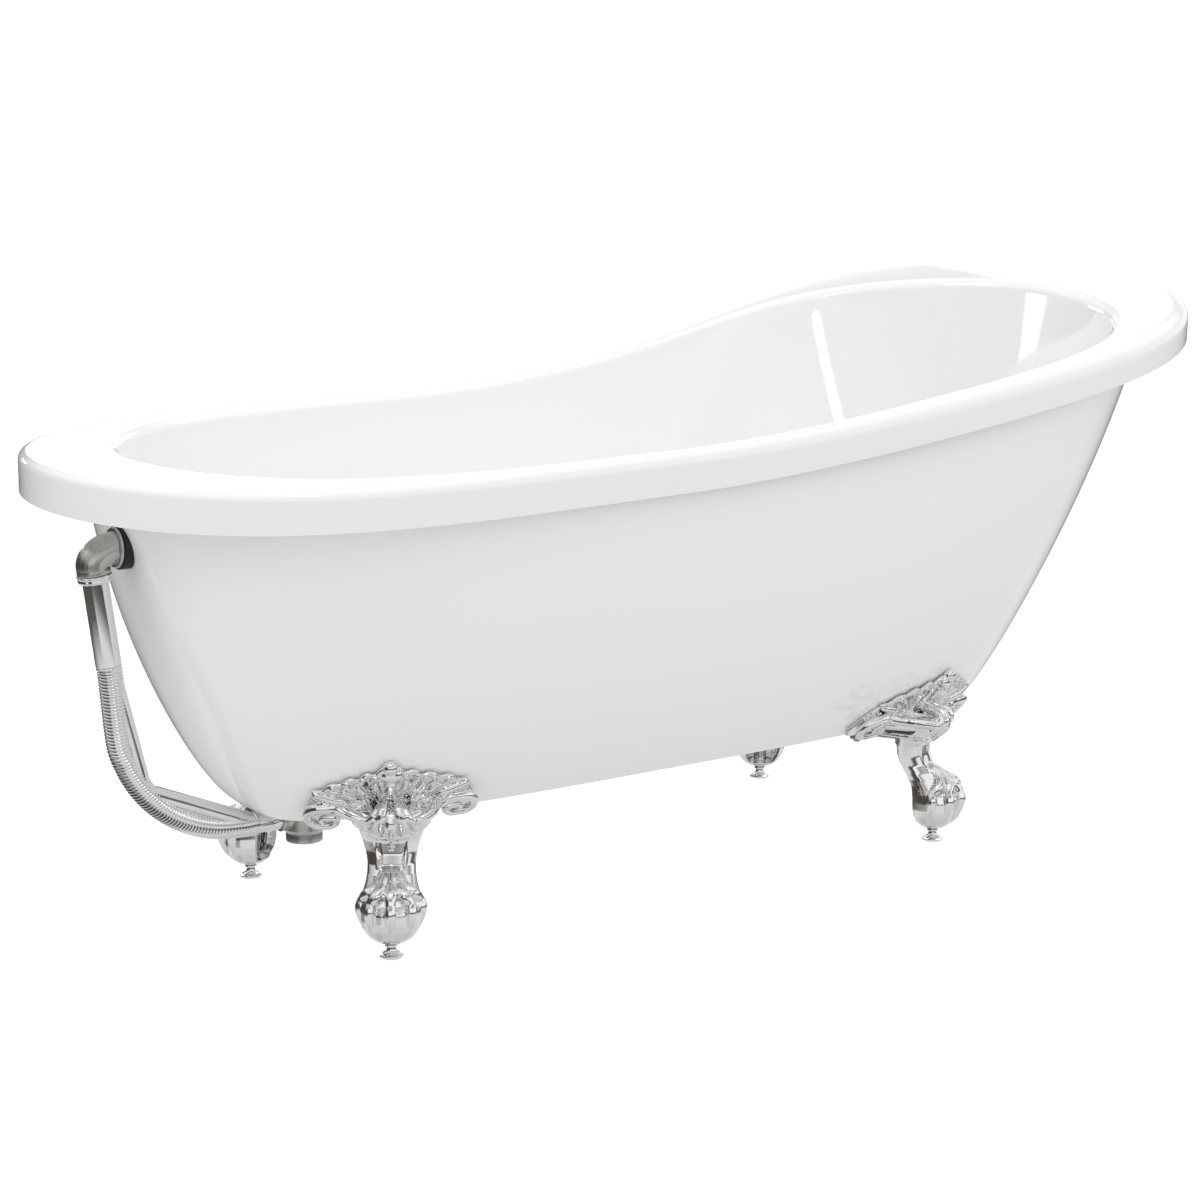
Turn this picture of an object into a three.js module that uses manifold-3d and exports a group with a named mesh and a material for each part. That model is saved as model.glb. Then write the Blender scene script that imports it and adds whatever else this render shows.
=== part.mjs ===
// A freestanding slipper bathtub on four claw feet, with its exposed overflow, flexible hose and waste.
// Millimetres, +Z up. The origin is on the floor under the middle of the tub.
// The drain end is at -X and the raised head end at +X.

import * as THREE from "three";
import { mergeVertices } from "three/addons/utils/BufferGeometryUtils.js";
import Module from "manifold-3d";

const wasm = await Module();
wasm.setup();

// ---------------------------------------------------------------------------
// Driving dimensions
// ---------------------------------------------------------------------------

const TUB_LENGTH = 1550;
const TUB_WIDTH = 780;
const DRAIN_RIM_HEIGHT = 566;
const HEAD_RIM_HEIGHT = 761;
const RIM_FALL = 40; // how much the whole rim leans down towards the drain end
const SWEEP_START = -150; // where the rim starts its sweep up to the head end
const SWEEP_POWER = 1.85;
const SKIRT_BOTTOM = 146.4; // underside of the tub above the floor

const RIM_DROP = 46; // height of the turned-down outer edge of the rim
const RIM_RADIUS = 14; // roll from the outer edge to the top of the rim
const LIP_RADIUS = 12; // roll from the top of the rim into the basin
const DECK_DRAIN = 112; // width of the rim's flat top at the drain end
const DECK_HEAD = 104;
const DECK_SIDE = 52;
const BASIN_WALL = 5;
const SKIRT_WALL = 4;

const SKIRT_SET_BACK = { drain: 76, head: 77, side: 31.5 }; // skirt inside the rim, at its top
const CORNER_DRAIN = 148; // the skirt's lower corner, measured in from the ends and sides of the rim
const CORNER_HEAD = 112;
const CORNER_SIDE = 122.5;
const FLAT_DRAIN = 91; // from that corner in to the flat of the bottom
const FLAT_HEAD = 123;
const FLAT_SIDE = 144;
const SKIN_GAP = 34; // between skirt and basin at the lower corner
const SKIN_GAP_FLAT = { drain: 26, head: 40, side: 36 }; // and at the edge of the flat bottom

const BOND_LINE = 2.5; // depth of the glue line between the skirt's top edge and the deck

const FIT = 0.3; // gap between pieces that touch
const THREAD_GAP = 0.3; // around a screw in its hole
const BOARD_THICKNESS = 15;

const PAD_RADIUS = 13.5;
const PAD_HEIGHT = 11;
const LEVELLER_STEM_RADIUS = 4;
const STEM_LENGTH = 68;
const LOCK_NUT_FLATS = 13;
const LOCK_NUT_HEIGHT = 4.5;
const FOOT_INSET_DRAIN = { end: 325, side: 215 }; // from the ends and sides of the rim in to each pad
const FOOT_INSET_HEAD = { end: 387, side: 206 };
const FOOT_TURN = 32; // degrees that each foot points away from square to the side
const BOLT_REACH = 110; // from the foot's pad in to the bolt that holds the foot
const BOLT_RADIUS = 5;
const BOLT_HEAD_FLATS = 16;
const BOLT_HEAD_HEIGHT = 6.4;
const NUT_FLATS = 17;
const NUT_HEIGHT = 8;
const WASHER_RADIUS = 10;
const WASHER_THICKNESS = 2;
const SPREADER_RADIUS = 18;
const SPREADER_THICKNESS = 3;
const TONGUE_THICKNESS = 8;
const TONGUE_WIDTH = 44;
const TONGUE_END = 16; // past the middle of the bolt
const TONGUE_ROOT = 40; // from the pad in to where the tongue leaves the leg
const PAW_TOP = 57;
const CASTING_WALL = 7;
const LEAF_THICKNESS = 13;
const SCROLL_THICKNESS = 21;

const DRAIN_INSET = 308; // from the drain end of the rim in to the middle of the drain
const TAIL_RADIUS = 20; // threaded tail of the drain flange
const TAIL_BORE = 17;
const FLANGE_RADIUS = 35;
const PLUG_RADIUS = 30;
const STEM_RADIUS = 4; // the plug's stem
const GUIDE_THICKNESS = 6; // the bar that guides it
const SHOE_RADIUS = 25;
const OUTLET_RADIUS = 22;
const OUTLET_BORE = 16;
const OUTLET_DROP = 49.4; // from the underside of the tub to the open end of the waste

const OVERFLOW_DROP = 93; // from the top of the rim at the drain end to the middle of the overflow
const OVERFLOW_TAIL = 15;
const OVERFLOW_BORE = 11.5;
const ROSE_RADIUS = 31;
const GASKET_RADIUS = 25;
const OUTER_GASKET_THICKNESS = 9; // along the middle of the overflow
const INNER_GASKET_THICKNESS = 12;
const ELBOW_RADIUS = 18;
const PIPE_RADIUS = 14.5;
const PIPE_BORE = 10;
const PIPE_OUT = 27; // from the elbow's flange out to the top of the pipe
const PIPE_DROP = 27; // and down to it from the middle of the overflow
const PIPE_RUN = { in: 14, down: 105 }; // the pipe leans in towards the tub as it goes down
const COLLAR_RADIUS = 20;
const HOSE_RADIUS = 14.5;
const HOSE_BORE = 11.5;
const LOWER_PIPE_DROP = 18.4; // from the underside of the tub to the middle of the lower pipe
const LOWER_PIPE_RADIUS = 12.5;
const LOWER_PIPE_REACH = 65; // from the middle of the drain out to the hose
const SOCKET_REACH = 34; // from the middle of the drain out to the mouth of the shoe's socket
const SPIGOT_LENGTH = 12;
const SPIGOT_GAP = 0.8; // round a spigot in the bore of the hose
const SOCKET_DEPTH = 14;

const PLAN_STATIONS = 44; // points round every plan outline
const ROUND = 16; // sides on round pieces
const SMALL_ROUND = 12; // and on small ones

// ---------------------------------------------------------------------------
// Solids
// ---------------------------------------------------------------------------

function solidOf(geometry) {
  const bare = new THREE.BufferGeometry();
  bare.setAttribute("position", geometry.getAttribute("position"));
  bare.setIndex(geometry.index);
  const merged = mergeVertices(bare, 1e-4);
  return new wasm.Manifold(
    new wasm.Mesh({
      numProp: 3,
      vertProperties: new Float32Array(merged.attributes.position.array),
      triVerts: new Uint32Array(merged.index.array),
    }),
  );
}

function geometryOf(solid) {
  const mesh = solid.getMesh();
  const geometry = new THREE.BufferGeometry();
  geometry.setAttribute("position", new THREE.BufferAttribute(mesh.vertProperties, 3));
  geometry.setIndex(new THREE.BufferAttribute(mesh.triVerts, 1));
  return geometry;
}

// A turned solid about +Z. Each profile entry is [radius, height]; the profile runs from bottom to top.
function turned(profile, sides = ROUND) {
  const points = profile.map(([r, z]) => new THREE.Vector2(r, z));
  return new THREE.LatheGeometry(points, sides).rotateX(Math.PI / 2);
}

function disc(radius, low, high, sides = ROUND) {
  return turned([[0, low], [radius, low], [radius, high], [0, high]], sides);
}

function ring(bore, radius, low, high, sides = ROUND) {
  return turned([[bore, low], [radius, low], [radius, high], [bore, high], [bore, low]], sides);
}

function hexagon(flats, low, high) {
  return disc(flats / Math.sqrt(3), low, high, 6);
}

function hexagonRing(flats, bore, low, high) {
  const hole = disc(bore, low - 1, high + 1, SMALL_ROUND);
  return geometryOf(solidOf(hexagon(flats, low, high)).subtract(solidOf(hole)));
}

// A straight tube or rod from one point to another, its profile turned about the line between them.
function aimed(geometry, from, towards) {
  const along = new THREE.Vector3().subVectors(towards, from).normalize();
  const turn = new THREE.Quaternion().setFromUnitVectors(new THREE.Vector3(0, 0, 1), along);
  return geometry.applyQuaternion(turn).translate(from.x, from.y, from.z);
}

function circleShape(radius, sides) {
  const shape = new THREE.Shape();
  for (let i = 0; i < sides; i++) {
    const a = (2 * Math.PI * i) / sides;
    if (i === 0) shape.moveTo(radius, 0);
    else shape.lineTo(radius * Math.cos(a), radius * Math.sin(a));
  }
  shape.closePath();
  return shape;
}

// A round bar that follows a curve.
function swept(curve, radius, steps, sides = 12) {
  return new THREE.ExtrudeGeometry(circleShape(radius, sides), {
    steps,
    extrudePath: curve,
    curveSegments: 1,
  });
}

// A round bar that follows a curve, bored out along its whole length.
function sweptTube(curve, radius, bore, steps, sides = 12) {
  const shape = circleShape(radius, sides);
  shape.holes.push(circleShape(bore, sides));
  return new THREE.ExtrudeGeometry(shape, { steps, extrudePath: curve, curveSegments: 1 });
}

// ---------------------------------------------------------------------------
// The tub's surfaces
// ---------------------------------------------------------------------------

// A plan outline: blunt round ends, widest towards the head and a little waisted between.
function makePlan(sizes) {
  const plan = { ...sizes, scale: 1 };
  let peak = 0;
  for (let i = 1; i < 180; i++) peak = Math.max(peak, planPoint(plan, (Math.PI * i) / 180).y);
  plan.scale = plan.width / 2 / peak;
  return plan;
}

function planPoint(plan, angle) {
  const c = Math.cos(angle);
  const s = Math.sin(angle);
  const end = c < 0 ? plan.drainEnd : plan.headEnd;
  const reach = c < 0 ? plan.widest - plan.drain : plan.head - plan.widest;
  const x = plan.widest + reach * Math.sign(c) * Math.abs(c) ** (2 / end.length);
  const u = x / (TUB_LENGTH / 2);
  const flare = 1 + plan.flare * u + plan.waist * u * u;
  const y = Math.sign(s) * Math.abs(s) ** (2 / end.side) * flare * plan.scale;
  return new THREE.Vector2(x, y);
}

function insetPlan(plan, drain, head, side) {
  return makePlan({
    ...plan,
    drain: plan.drain + drain,
    head: plan.head - head,
    width: plan.width - 2 * side,
  });
}

const rimPlan = makePlan({
  drain: -TUB_LENGTH / 2,
  head: TUB_LENGTH / 2,
  width: TUB_WIDTH,
  widest: TUB_LENGTH * 0.123,
  flare: 0.046,
  waist: 0.43,
  drainEnd: { length: 4.07, side: 2.0 },
  headEnd: { length: 4.41, side: 1.585 },
});
const basinEdgePlan = insetPlan(rimPlan, DECK_DRAIN, DECK_HEAD, DECK_SIDE);
const skirtTopPlan = insetPlan(rimPlan, SKIRT_SET_BACK.drain, SKIRT_SET_BACK.head, SKIRT_SET_BACK.side);
const skirtCornerPlan = makePlan({
  drain: rimPlan.drain + CORNER_DRAIN,
  head: rimPlan.head - CORNER_HEAD,
  width: TUB_WIDTH - 2 * CORNER_SIDE,
  widest: 0,
  flare: 0,
  waist: 0,
  drainEnd: { length: 3.7, side: 3.7 },
  headEnd: { length: 3.3, side: 3.3 },
});
const skirtFlatPlan = insetPlan(skirtCornerPlan, FLAT_DRAIN, FLAT_HEAD, FLAT_SIDE);
const basinCornerPlan = insetPlan(skirtCornerPlan, SKIN_GAP, SKIN_GAP, SKIN_GAP);
const basinFlatPlan = insetPlan(skirtFlatPlan, SKIN_GAP_FLAT.drain, SKIN_GAP_FLAT.head, SKIN_GAP_FLAT.side);

// The angles at which the rim's outline has its points, evenly spaced and the same on both sides.
function evenAngles(plan, count) {
  const fine = 2000;
  const lengths = [0];
  for (let i = 1; i <= fine; i++) {
    const a = planPoint(plan, (2 * Math.PI * (i - 1)) / fine);
    const b = planPoint(plan, (2 * Math.PI * i) / fine);
    lengths.push(lengths[i - 1] + a.distanceTo(b));
  }
  const side = [];
  for (let k = 0, i = 0; k <= count / 2; k++) {
    while (i < fine / 2 && lengths[i] < (lengths[fine] * k) / count) i++;
    side.push((2 * Math.PI * i) / fine);
  }
  return [...side, ...side.slice(1, -1).reverse().map((angle) => 2 * Math.PI - angle)];
}

const angles = evenAngles(rimPlan, PLAN_STATIONS);

// Height of the top of the rim above the floor.
function rimHeight(x) {
  const along = x / TUB_LENGTH + 0.5;
  const sweep = Math.max(0, (x - SWEEP_START) / (TUB_LENGTH / 2 - SWEEP_START));
  const rise = HEAD_RIM_HEIGHT - DRAIN_RIM_HEIGHT - RIM_FALL;
  return DRAIN_RIM_HEIGHT + RIM_FALL * along + rise * sweep ** SWEEP_POWER;
}

// A ring of points round a plan, at a height below the top of the rim.
function rimRing(plan, below) {
  return angles.map((angle) => {
    const p = planPoint(plan, angle);
    return new THREE.Vector3(p.x, p.y, rimHeight(p.x) - below);
  });
}

function levelRing(plan, height) {
  return angles.map((angle) => {
    const p = planPoint(plan, angle);
    return new THREE.Vector3(p.x, p.y, height);
  });
}

// Rings from an upper edge, down a nearly straight wall and round a soft corner to a flat bottom.
function wallRings(edge, corner, flat, straight, round, count) {
  const rings = [];
  for (let k = 1; k <= count; k++) {
    rings.push(
      edge.map((p, i) => {
        const down = p.clone().lerp(corner[i], straight);
        const along = flat[i].clone().lerp(corner[i], round);
        return new THREE.CubicBezierCurve3(p, down, along, flat[i]).getPoint(k / count);
      }),
    );
  }
  return rings;
}

// One skin: its rings from the outer edge to the middle, and the point in the middle that closes it.
function sheetGeometry(rings, middle, turnedOver) {
  const count = rings[0].length;
  const points = [...rings.flat(), middle];
  const index = [];
  const face = (a, b, c) => index.push(...(turnedOver ? [a, c, b] : [a, b, c]));
  for (let r = 0; r < rings.length; r++) {
    for (let i = 0; i < count; i++) {
      const a = r * count + i;
      const b = r * count + ((i + 1) % count);
      if (r === rings.length - 1) {
        face(a, b, points.length - 1);
        continue;
      }
      face(a, b, a + count);
      face(b, b + count, a + count);
    }
  }
  const geometry = new THREE.BufferGeometry().setFromPoints(points);
  geometry.setIndex(index);
  geometry.computeVertexNormals();
  return geometry;
}

function movedOut(sheet, distance) {
  const position = sheet.getAttribute("position");
  const normal = sheet.getAttribute("normal");
  const points = [];
  for (let i = 0; i < position.count; i++) {
    const n = new THREE.Vector3().fromBufferAttribute(normal, i);
    points.push(new THREE.Vector3().fromBufferAttribute(position, i).addScaledVector(n, distance));
  }
  return points;
}

// A wall of even thickness behind a skin.
function thickened(sheet, thickness) {
  const count = angles.length;
  const front = movedOut(sheet, 0);
  const back = movedOut(sheet, -thickness);
  const faces = Array.from(sheet.index.array);
  const index = [...faces];
  for (let k = 0; k < faces.length; k += 3) {
    index.push(faces[k] + front.length, faces[k + 2] + front.length, faces[k + 1] + front.length);
  }
  const turnedOver = faces[1] !== 1;
  for (let i = 0; i < count; i++) {
    const j = (i + 1) % count;
    const [a, b] = turnedOver ? [i, j] : [j, i];
    index.push(a, b, b + front.length);
    index.push(a, b + front.length, a + front.length);
  }
  const geometry = new THREE.BufferGeometry().setFromPoints([...front, ...back]);
  geometry.setIndex(index);
  return geometry;
}

// The full space that a skin bounds, closed across its open top, with the skin moved out first.
function filled(sheet, distance, hollowSide) {
  const count = angles.length;
  const points = movedOut(sheet, distance);
  const lid = points.length;
  const height = points.slice(0, count).reduce((sum, p) => sum + p.z, 0) / count;
  points.push(new THREE.Vector3(0, 0, height));
  const index = Array.from(sheet.index.array);
  for (let i = 0; i < count; i++) {
    const j = (i + 1) % count;
    index.push(...(hollowSide ? [j, i, lid] : [i, j, lid]));
  }
  if (hollowSide) {
    for (let k = 0; k < index.length; k += 3) {
      [index[k + 1], index[k + 2]] = [index[k + 2], index[k + 1]];
    }
  }
  const geometry = new THREE.BufferGeometry().setFromPoints(points);
  geometry.setIndex(index);
  return geometry;
}

const STRAIGHTNESS = 0.58;
const CORNER_ROUNDNESS = 0.27;
const boardBottom = SKIRT_BOTTOM + SKIRT_WALL + FIT;
const boardTop = boardBottom + BOARD_THICKNESS;
const floorHeight = boardTop + FIT + BASIN_WALL;

// Basin: up the drop edge, over the roll, across the deck, down the wall and over the floor.
function arcRings(plan, low, radius, steps, inwards) {
  const rings = [];
  for (let k = 0; k <= steps; k++) {
    const a = (Math.PI / 2) * (k / steps);
    const inset = inwards ? radius * (1 - Math.cos(a)) : -radius * (1 - Math.sin(a));
    const below = inwards ? low - radius * Math.sin(a) : low + radius * (1 - Math.cos(a));
    rings.push(rimRing(insetPlan(plan, inset, inset, inset), below));
  }
  return rings;
}

const basinWallTop = rimRing(basinEdgePlan, LIP_RADIUS);
const basinWall = wallRings(
  basinWallTop,
  levelRing(basinCornerPlan, floorHeight),
  levelRing(basinFlatPlan, floorHeight),
  STRAIGHTNESS,
  CORNER_ROUNDNESS,
  7,
);
const floorMiddle = new THREE.Vector3(0, 0, floorHeight);
const basinSheet = sheetGeometry(
  [
    rimRing(rimPlan, RIM_DROP),
    ...arcRings(rimPlan, RIM_RADIUS, RIM_RADIUS, 3, true),
    ...arcRings(basinEdgePlan, 0, LIP_RADIUS, 3, false),
    ...basinWall,
  ],
  floorMiddle,
  false,
);
const waterSheet = sheetGeometry([basinWallTop, ...basinWall], floorMiddle, false);

const skirtTop = rimRing(skirtTopPlan, BASIN_WALL + BOND_LINE);
const skirtVisibleTop = rimRing(skirtTopPlan, RIM_DROP);
const skirtSheet = sheetGeometry(
  [
    skirtTop,
    skirtVisibleTop,
    ...wallRings(
      skirtVisibleTop,
      levelRing(skirtCornerPlan, SKIRT_BOTTOM),
      levelRing(skirtFlatPlan, SKIRT_BOTTOM),
      STRAIGHTNESS,
      CORNER_ROUNDNESS,
      9,
    ),
  ],
  new THREE.Vector3(0, 0, SKIRT_BOTTOM),
  true,
);

// Where the middle of a skin's drain end lies at a height: x of the wall there.
const drainStation = Math.round(PLAN_STATIONS / 2);
const drainX = rimPlan.drain + DRAIN_INSET;
const overflowHeight = DRAIN_RIM_HEIGHT - OVERFLOW_DROP;
const lowerPipeHeight = SKIRT_BOTTOM - LOWER_PIPE_DROP;
const lowerPipeStart = drainX - LOWER_PIPE_REACH;

function wallX(sheet, height) {
  const p = sheet.getAttribute("position");
  for (let i = drainStation; i + PLAN_STATIONS < p.count; i += PLAN_STATIONS) {
    const [above, below] = [p.getZ(i), p.getZ(i + PLAN_STATIONS)];
    if (height > above || height < below) continue;
    return THREE.MathUtils.mapLinear(height, above, below, p.getX(i), p.getX(i + PLAN_STATIONS));
  }
  throw new Error("no wall at that height");
}

// ---------------------------------------------------------------------------
// Shells, board and holes
// ---------------------------------------------------------------------------

const colours = {
  acrylic: new THREE.MeshStandardMaterial({ color: 0xf2f2f0, roughness: 0.08, metalness: 0 }),
  board: new THREE.MeshStandardMaterial({ color: 0xb08a5c, roughness: 0.8, metalness: 0 }),
  steel: new THREE.MeshStandardMaterial({ color: 0x9a9c9f, roughness: 0.4, metalness: 1 }),
  chrome: new THREE.MeshStandardMaterial({ color: 0xd8dadc, roughness: 0.05, metalness: 1 }),
  nickel: new THREE.MeshStandardMaterial({ color: 0xb4b2ac, roughness: 0.3, metalness: 1 }),
  rubber: new THREE.MeshStandardMaterial({ color: 0x161616, roughness: 0.7, metalness: 0 }),
};

const tub = new THREE.Group();

function add(name, geometry, material, parent = tub) {
  const mesh = new THREE.Mesh(geometry, material);
  mesh.name = name;
  parent.add(mesh);
  return mesh;
}

const footDrain = new THREE.Vector2(
  rimPlan.drain + FOOT_INSET_DRAIN.end,
  TUB_WIDTH / 2 - FOOT_INSET_DRAIN.side,
);
const footHead = new THREE.Vector2(rimPlan.head - FOOT_INSET_HEAD.end, TUB_WIDTH / 2 - FOOT_INSET_HEAD.side);
const FOOT_PLACES = [
  { name: "drain_near", x: footDrain.x, y: -footDrain.y, turn: -90 - FOOT_TURN },
  { name: "drain_far", x: footDrain.x, y: footDrain.y, turn: 90 + FOOT_TURN },
  { name: "head_near", x: footHead.x, y: -footHead.y, turn: -90 + FOOT_TURN },
  { name: "head_far", x: footHead.x, y: footHead.y, turn: 90 - FOOT_TURN },
];

function footMatrix(place) {
  const matrix = new THREE.Matrix4().makeRotationZ(THREE.MathUtils.degToRad(place.turn));
  return matrix.setPosition(place.x, place.y, 0);
}

function boltPlace(place) {
  return new THREE.Vector3(-BOLT_REACH, 0, 0).applyMatrix4(footMatrix(place));
}

function overflowHole(radius) {
  const from = new THREE.Vector3(-TUB_LENGTH / 2, 0, overflowHeight);
  const towards = from.clone().add(new THREE.Vector3(1, 0, 0));
  return solidOf(aimed(disc(radius, 0, TUB_LENGTH / 4), from, towards));
}

function drainHole(radius) {
  return solidOf(disc(radius, 0, HEAD_RIM_HEIGHT).translate(drainX, 0, 0));
}

function makeShells() {
  const basin = solidOf(thickened(basinSheet, BASIN_WALL))
    .subtract(drainHole(TAIL_RADIUS + 1))
    .subtract(overflowHole(OVERFLOW_TAIL + 0.6));
  add("inner_shell", geometryOf(basin), colours.acrylic);

  let skirt = solidOf(thickened(skirtSheet, SKIRT_WALL))
    .subtract(drainHole(TAIL_RADIUS + 1))
    .subtract(overflowHole(OVERFLOW_TAIL + 0.6));
  for (const place of FOOT_PLACES) {
    const at = boltPlace(place);
    const hole = disc(BOLT_RADIUS + 0.5, SKIRT_BOTTOM - 1, boardBottom).translate(at.x, at.y, 0);
    skirt = skirt.subtract(solidOf(hole));
  }
  add("outer_shell", geometryOf(skirt), colours.acrylic);
}

// The board lies between the skins; each spreader plate and bolt head has a pocket in its underside.
function makeBoard() {
  const plan = insetPlan(skirtFlatPlan, 8, 8, 5);
  const outline = new THREE.Shape(angles.map((angle) => planPoint(plan, angle)));
  const slab = new THREE.ExtrudeGeometry(outline, { depth: BOARD_THICKNESS, bevelEnabled: false });
  let board = solidOf(slab.translate(0, 0, boardBottom)).subtract(drainHole(TAIL_RADIUS + 6));
  const plateTop = boardBottom + SPREADER_THICKNESS + FIT;
  for (const place of FOOT_PLACES) {
    const at = boltPlace(place);
    const seat = disc(SPREADER_RADIUS + 1, boardBottom - 1, plateTop).translate(at.x, at.y, 0);
    const headRoom = plateTop + BOLT_HEAD_HEIGHT + 2 * FIT;
    const head = disc(BOLT_HEAD_FLATS / 2 + 4, plateTop - 1, headRoom).translate(at.x, at.y, 0);
    board = board.subtract(solidOf(seat)).subtract(solidOf(head));
  }
  add("base_board", geometryOf(board), colours.board);
}

// ---------------------------------------------------------------------------
// Claw feet. Each foot's own frame: +X outwards, +Y sideways, +Z up, origin under the pad.
// ---------------------------------------------------------------------------

const ballBottom = PAD_HEIGHT + 1 + LOCK_NUT_HEIGHT + 2 * FIT;
const tongueTop = SKIRT_BOTTOM - FIT;

// A share of the way from the top of the paw up to the underside of the tub.
function legHeight(share) {
  return THREE.MathUtils.lerp(PAW_TOP, SKIRT_BOTTOM, share);
}

// The leg's sections: height, how far out its middle lies, half its width and half its depth.
const LEG_SECTIONS = [
  { z: ballBottom, out: 0, wide: 11, deep: 11 },
  { z: 22, out: 0, wide: 22, deep: 20 },
  { z: 35, out: 0, wide: 33, deep: 29.5 },
  { z: PAW_TOP, out: 0, wide: 37, deep: 33 },
  { z: legHeight(0.21), out: -5, wide: 33, deep: 28 },
  { z: legHeight(0.37), out: -17, wide: 29, deep: 23 },
  { z: legHeight(0.53), out: -28, wide: 28, deep: 21 },
  { z: legHeight(0.76), out: -34, wide: 32, deep: 21 },
  { z: SKIRT_BOTTOM + 4, out: -30, wide: 41, deep: 23 },
  { z: SKIRT_BOTTOM + 30, out: -18, wide: 44, deep: 24 },
];

function lofted(sections, sides) {
  const points = [];
  for (const s of sections) {
    for (let i = 0; i < sides; i++) {
      const a = (2 * Math.PI * i) / sides;
      points.push(new THREE.Vector3(s.out + s.deep * Math.cos(a), s.wide * Math.sin(a), s.z));
    }
  }
  const index = [];
  for (let r = 0; r + 1 < sections.length; r++) {
    for (let i = 0; i < sides; i++) {
      const a = r * sides + i;
      const b = r * sides + ((i + 1) % sides);
      index.push(a, b, a + sides);
      index.push(b, b + sides, a + sides);
    }
  }
  const top = (sections.length - 1) * sides;
  for (let i = 1; i + 1 < sides; i++) {
    index.push(0, i + 1, i);
    index.push(top, top + i, top + i + 1);
  }
  const geometry = new THREE.BufferGeometry().setFromPoints(points);
  geometry.setIndex(index);
  return geometry;
}

// The acanthus leaf seen from the front, half of its edge: a knob, four lobes and a rolled end.
// Each entry is [to the side, above the underside of the tub].
const LEAF_EDGE = [
  [0, 90],
  [11, 84],
  [14, 75],
  [24, 81],
  [35, 73],
  [47, 77],
  [57, 67],
  [71, 69],
  [79, 58],
  [91, 53],
  [95, 37],
  [93, 20],
  [80, 7],
  [64, 6],
  [50, 14],
  [30, 4],
  [12, -4],
];

const SCROLL = { radius: 17, side: 76, above: 24 };
const KNOB = { radius: 11, out: 24, above: 80 };
const LEAF_BEHIND = 80; // the leaf is cut from a slab that runs from here behind the pad
const LEAF_REACH = 150; // out through the skirt, and is trimmed to the skirt's own shape

function leafSlab() {
  const right = LEAF_EDGE.map(([v, w]) => new THREE.Vector2(v, w));
  const left = LEAF_EDGE.slice(1).reverse().map(([v, w]) => new THREE.Vector2(-v, w));
  const slab = new THREE.ExtrudeGeometry(new THREE.Shape([...right, ...left].reverse()), {
    depth: LEAF_REACH,
    bevelEnabled: false,
  });
  // the drawing's x, y and depth become sideways, up and outwards
  const stand = new THREE.Matrix4().makeBasis(
    new THREE.Vector3(0, 1, 0),
    new THREE.Vector3(0, 0, 1),
    new THREE.Vector3(1, 0, 0),
  );
  return slab.applyMatrix4(stand).translate(-LEAF_BEHIND, 0, SKIRT_BOTTOM);
}

function skirtIn(place, distance) {
  const body = filled(skirtSheet, distance, false);
  return solidOf(body.applyMatrix4(footMatrix(place).invert()));
}

function makeCasting(place) {
  const scrolls = [-1, 1].map((side) => {
    const roll = disc(SCROLL.radius, 0, LEAF_REACH, SMALL_ROUND).rotateY(Math.PI / 2);
    return solidOf(roll.translate(-LEAF_BEHIND, side * SCROLL.side, SKIRT_BOTTOM + SCROLL.above));
  });
  const leaf = solidOf(leafSlab()).intersect(skirtIn(place, LEAF_THICKNESS));
  const rolled = scrolls[0].add(scrolls[1]).intersect(skirtIn(place, SCROLL_THICKNESS));
  const knobBall = new THREE.SphereGeometry(KNOB.radius, 10, 6);
  const knob = solidOf(knobBall.translate(KNOB.out, 0, SKIRT_BOTTOM + KNOB.above));
  const tongueLength = BOLT_REACH + TONGUE_END - TONGUE_ROOT;
  const tongue = new THREE.BoxGeometry(tongueLength, TONGUE_WIDTH, TONGUE_THICKNESS);
  const tongueMiddle = -TONGUE_ROOT - tongueLength / 2;
  tongue.translate(tongueMiddle, 0, tongueTop - TONGUE_THICKNESS / 2);

  const openBack = (s) => s.z > ballBottom + 2 * CASTING_WALL && s.z < tongueTop - TONGUE_THICKNESS;
  const hollow = LEG_SECTIONS.filter(openBack).map((s) => ({
    z: s.z,
    out: s.out - CASTING_WALL,
    wide: s.wide - CASTING_WALL,
    deep: s.deep,
  }));
  const boss = disc(LEVELLER_STEM_RADIUS + 5, ballBottom, STEM_LENGTH + 2, SMALL_ROUND);
  const stemHole = disc(LEVELLER_STEM_RADIUS + THREAD_GAP, 0, STEM_LENGTH + 12, SMALL_ROUND);
  const boltHole = disc(BOLT_RADIUS + 0.5, tongueTop - 2 * TONGUE_THICKNESS, tongueTop + 1, SMALL_ROUND);
  const leg = solidOf(lofted(LEG_SECTIONS, 14)).subtract(solidOf(lofted(hollow, 10)));
  const whole = leg
    .add(leaf)
    .add(rolled)
    .add(knob)
    .add(solidOf(tongue))
    .add(solidOf(boss))
    .subtract(skirtIn(place, FIT))
    .subtract(solidOf(stemHole))
    .subtract(solidOf(boltHole.translate(-BOLT_REACH, 0, 0)));
  return geometryOf(whole);
}

// The levelling foot is one turning: a flared round pad with a threaded stem.
function levellerGeometry() {
  const flare = [];
  for (let k = 0; k <= 3; k++) {
    const a = (Math.PI / 2) * (k / 3);
    flare.push([5 + (PAD_RADIUS - 5) * (1 - Math.sin(a)), 3 + (PAD_HEIGHT - 3) * (1 - Math.cos(a))]);
  }
  const stem = LEVELLER_STEM_RADIUS;
  return turned(
    [[0, 0], [PAD_RADIUS, 0], ...flare, [stem, PAD_HEIGHT], [stem, STEM_LENGTH], [0, STEM_LENGTH]],
    SMALL_ROUND,
  );
}

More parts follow.
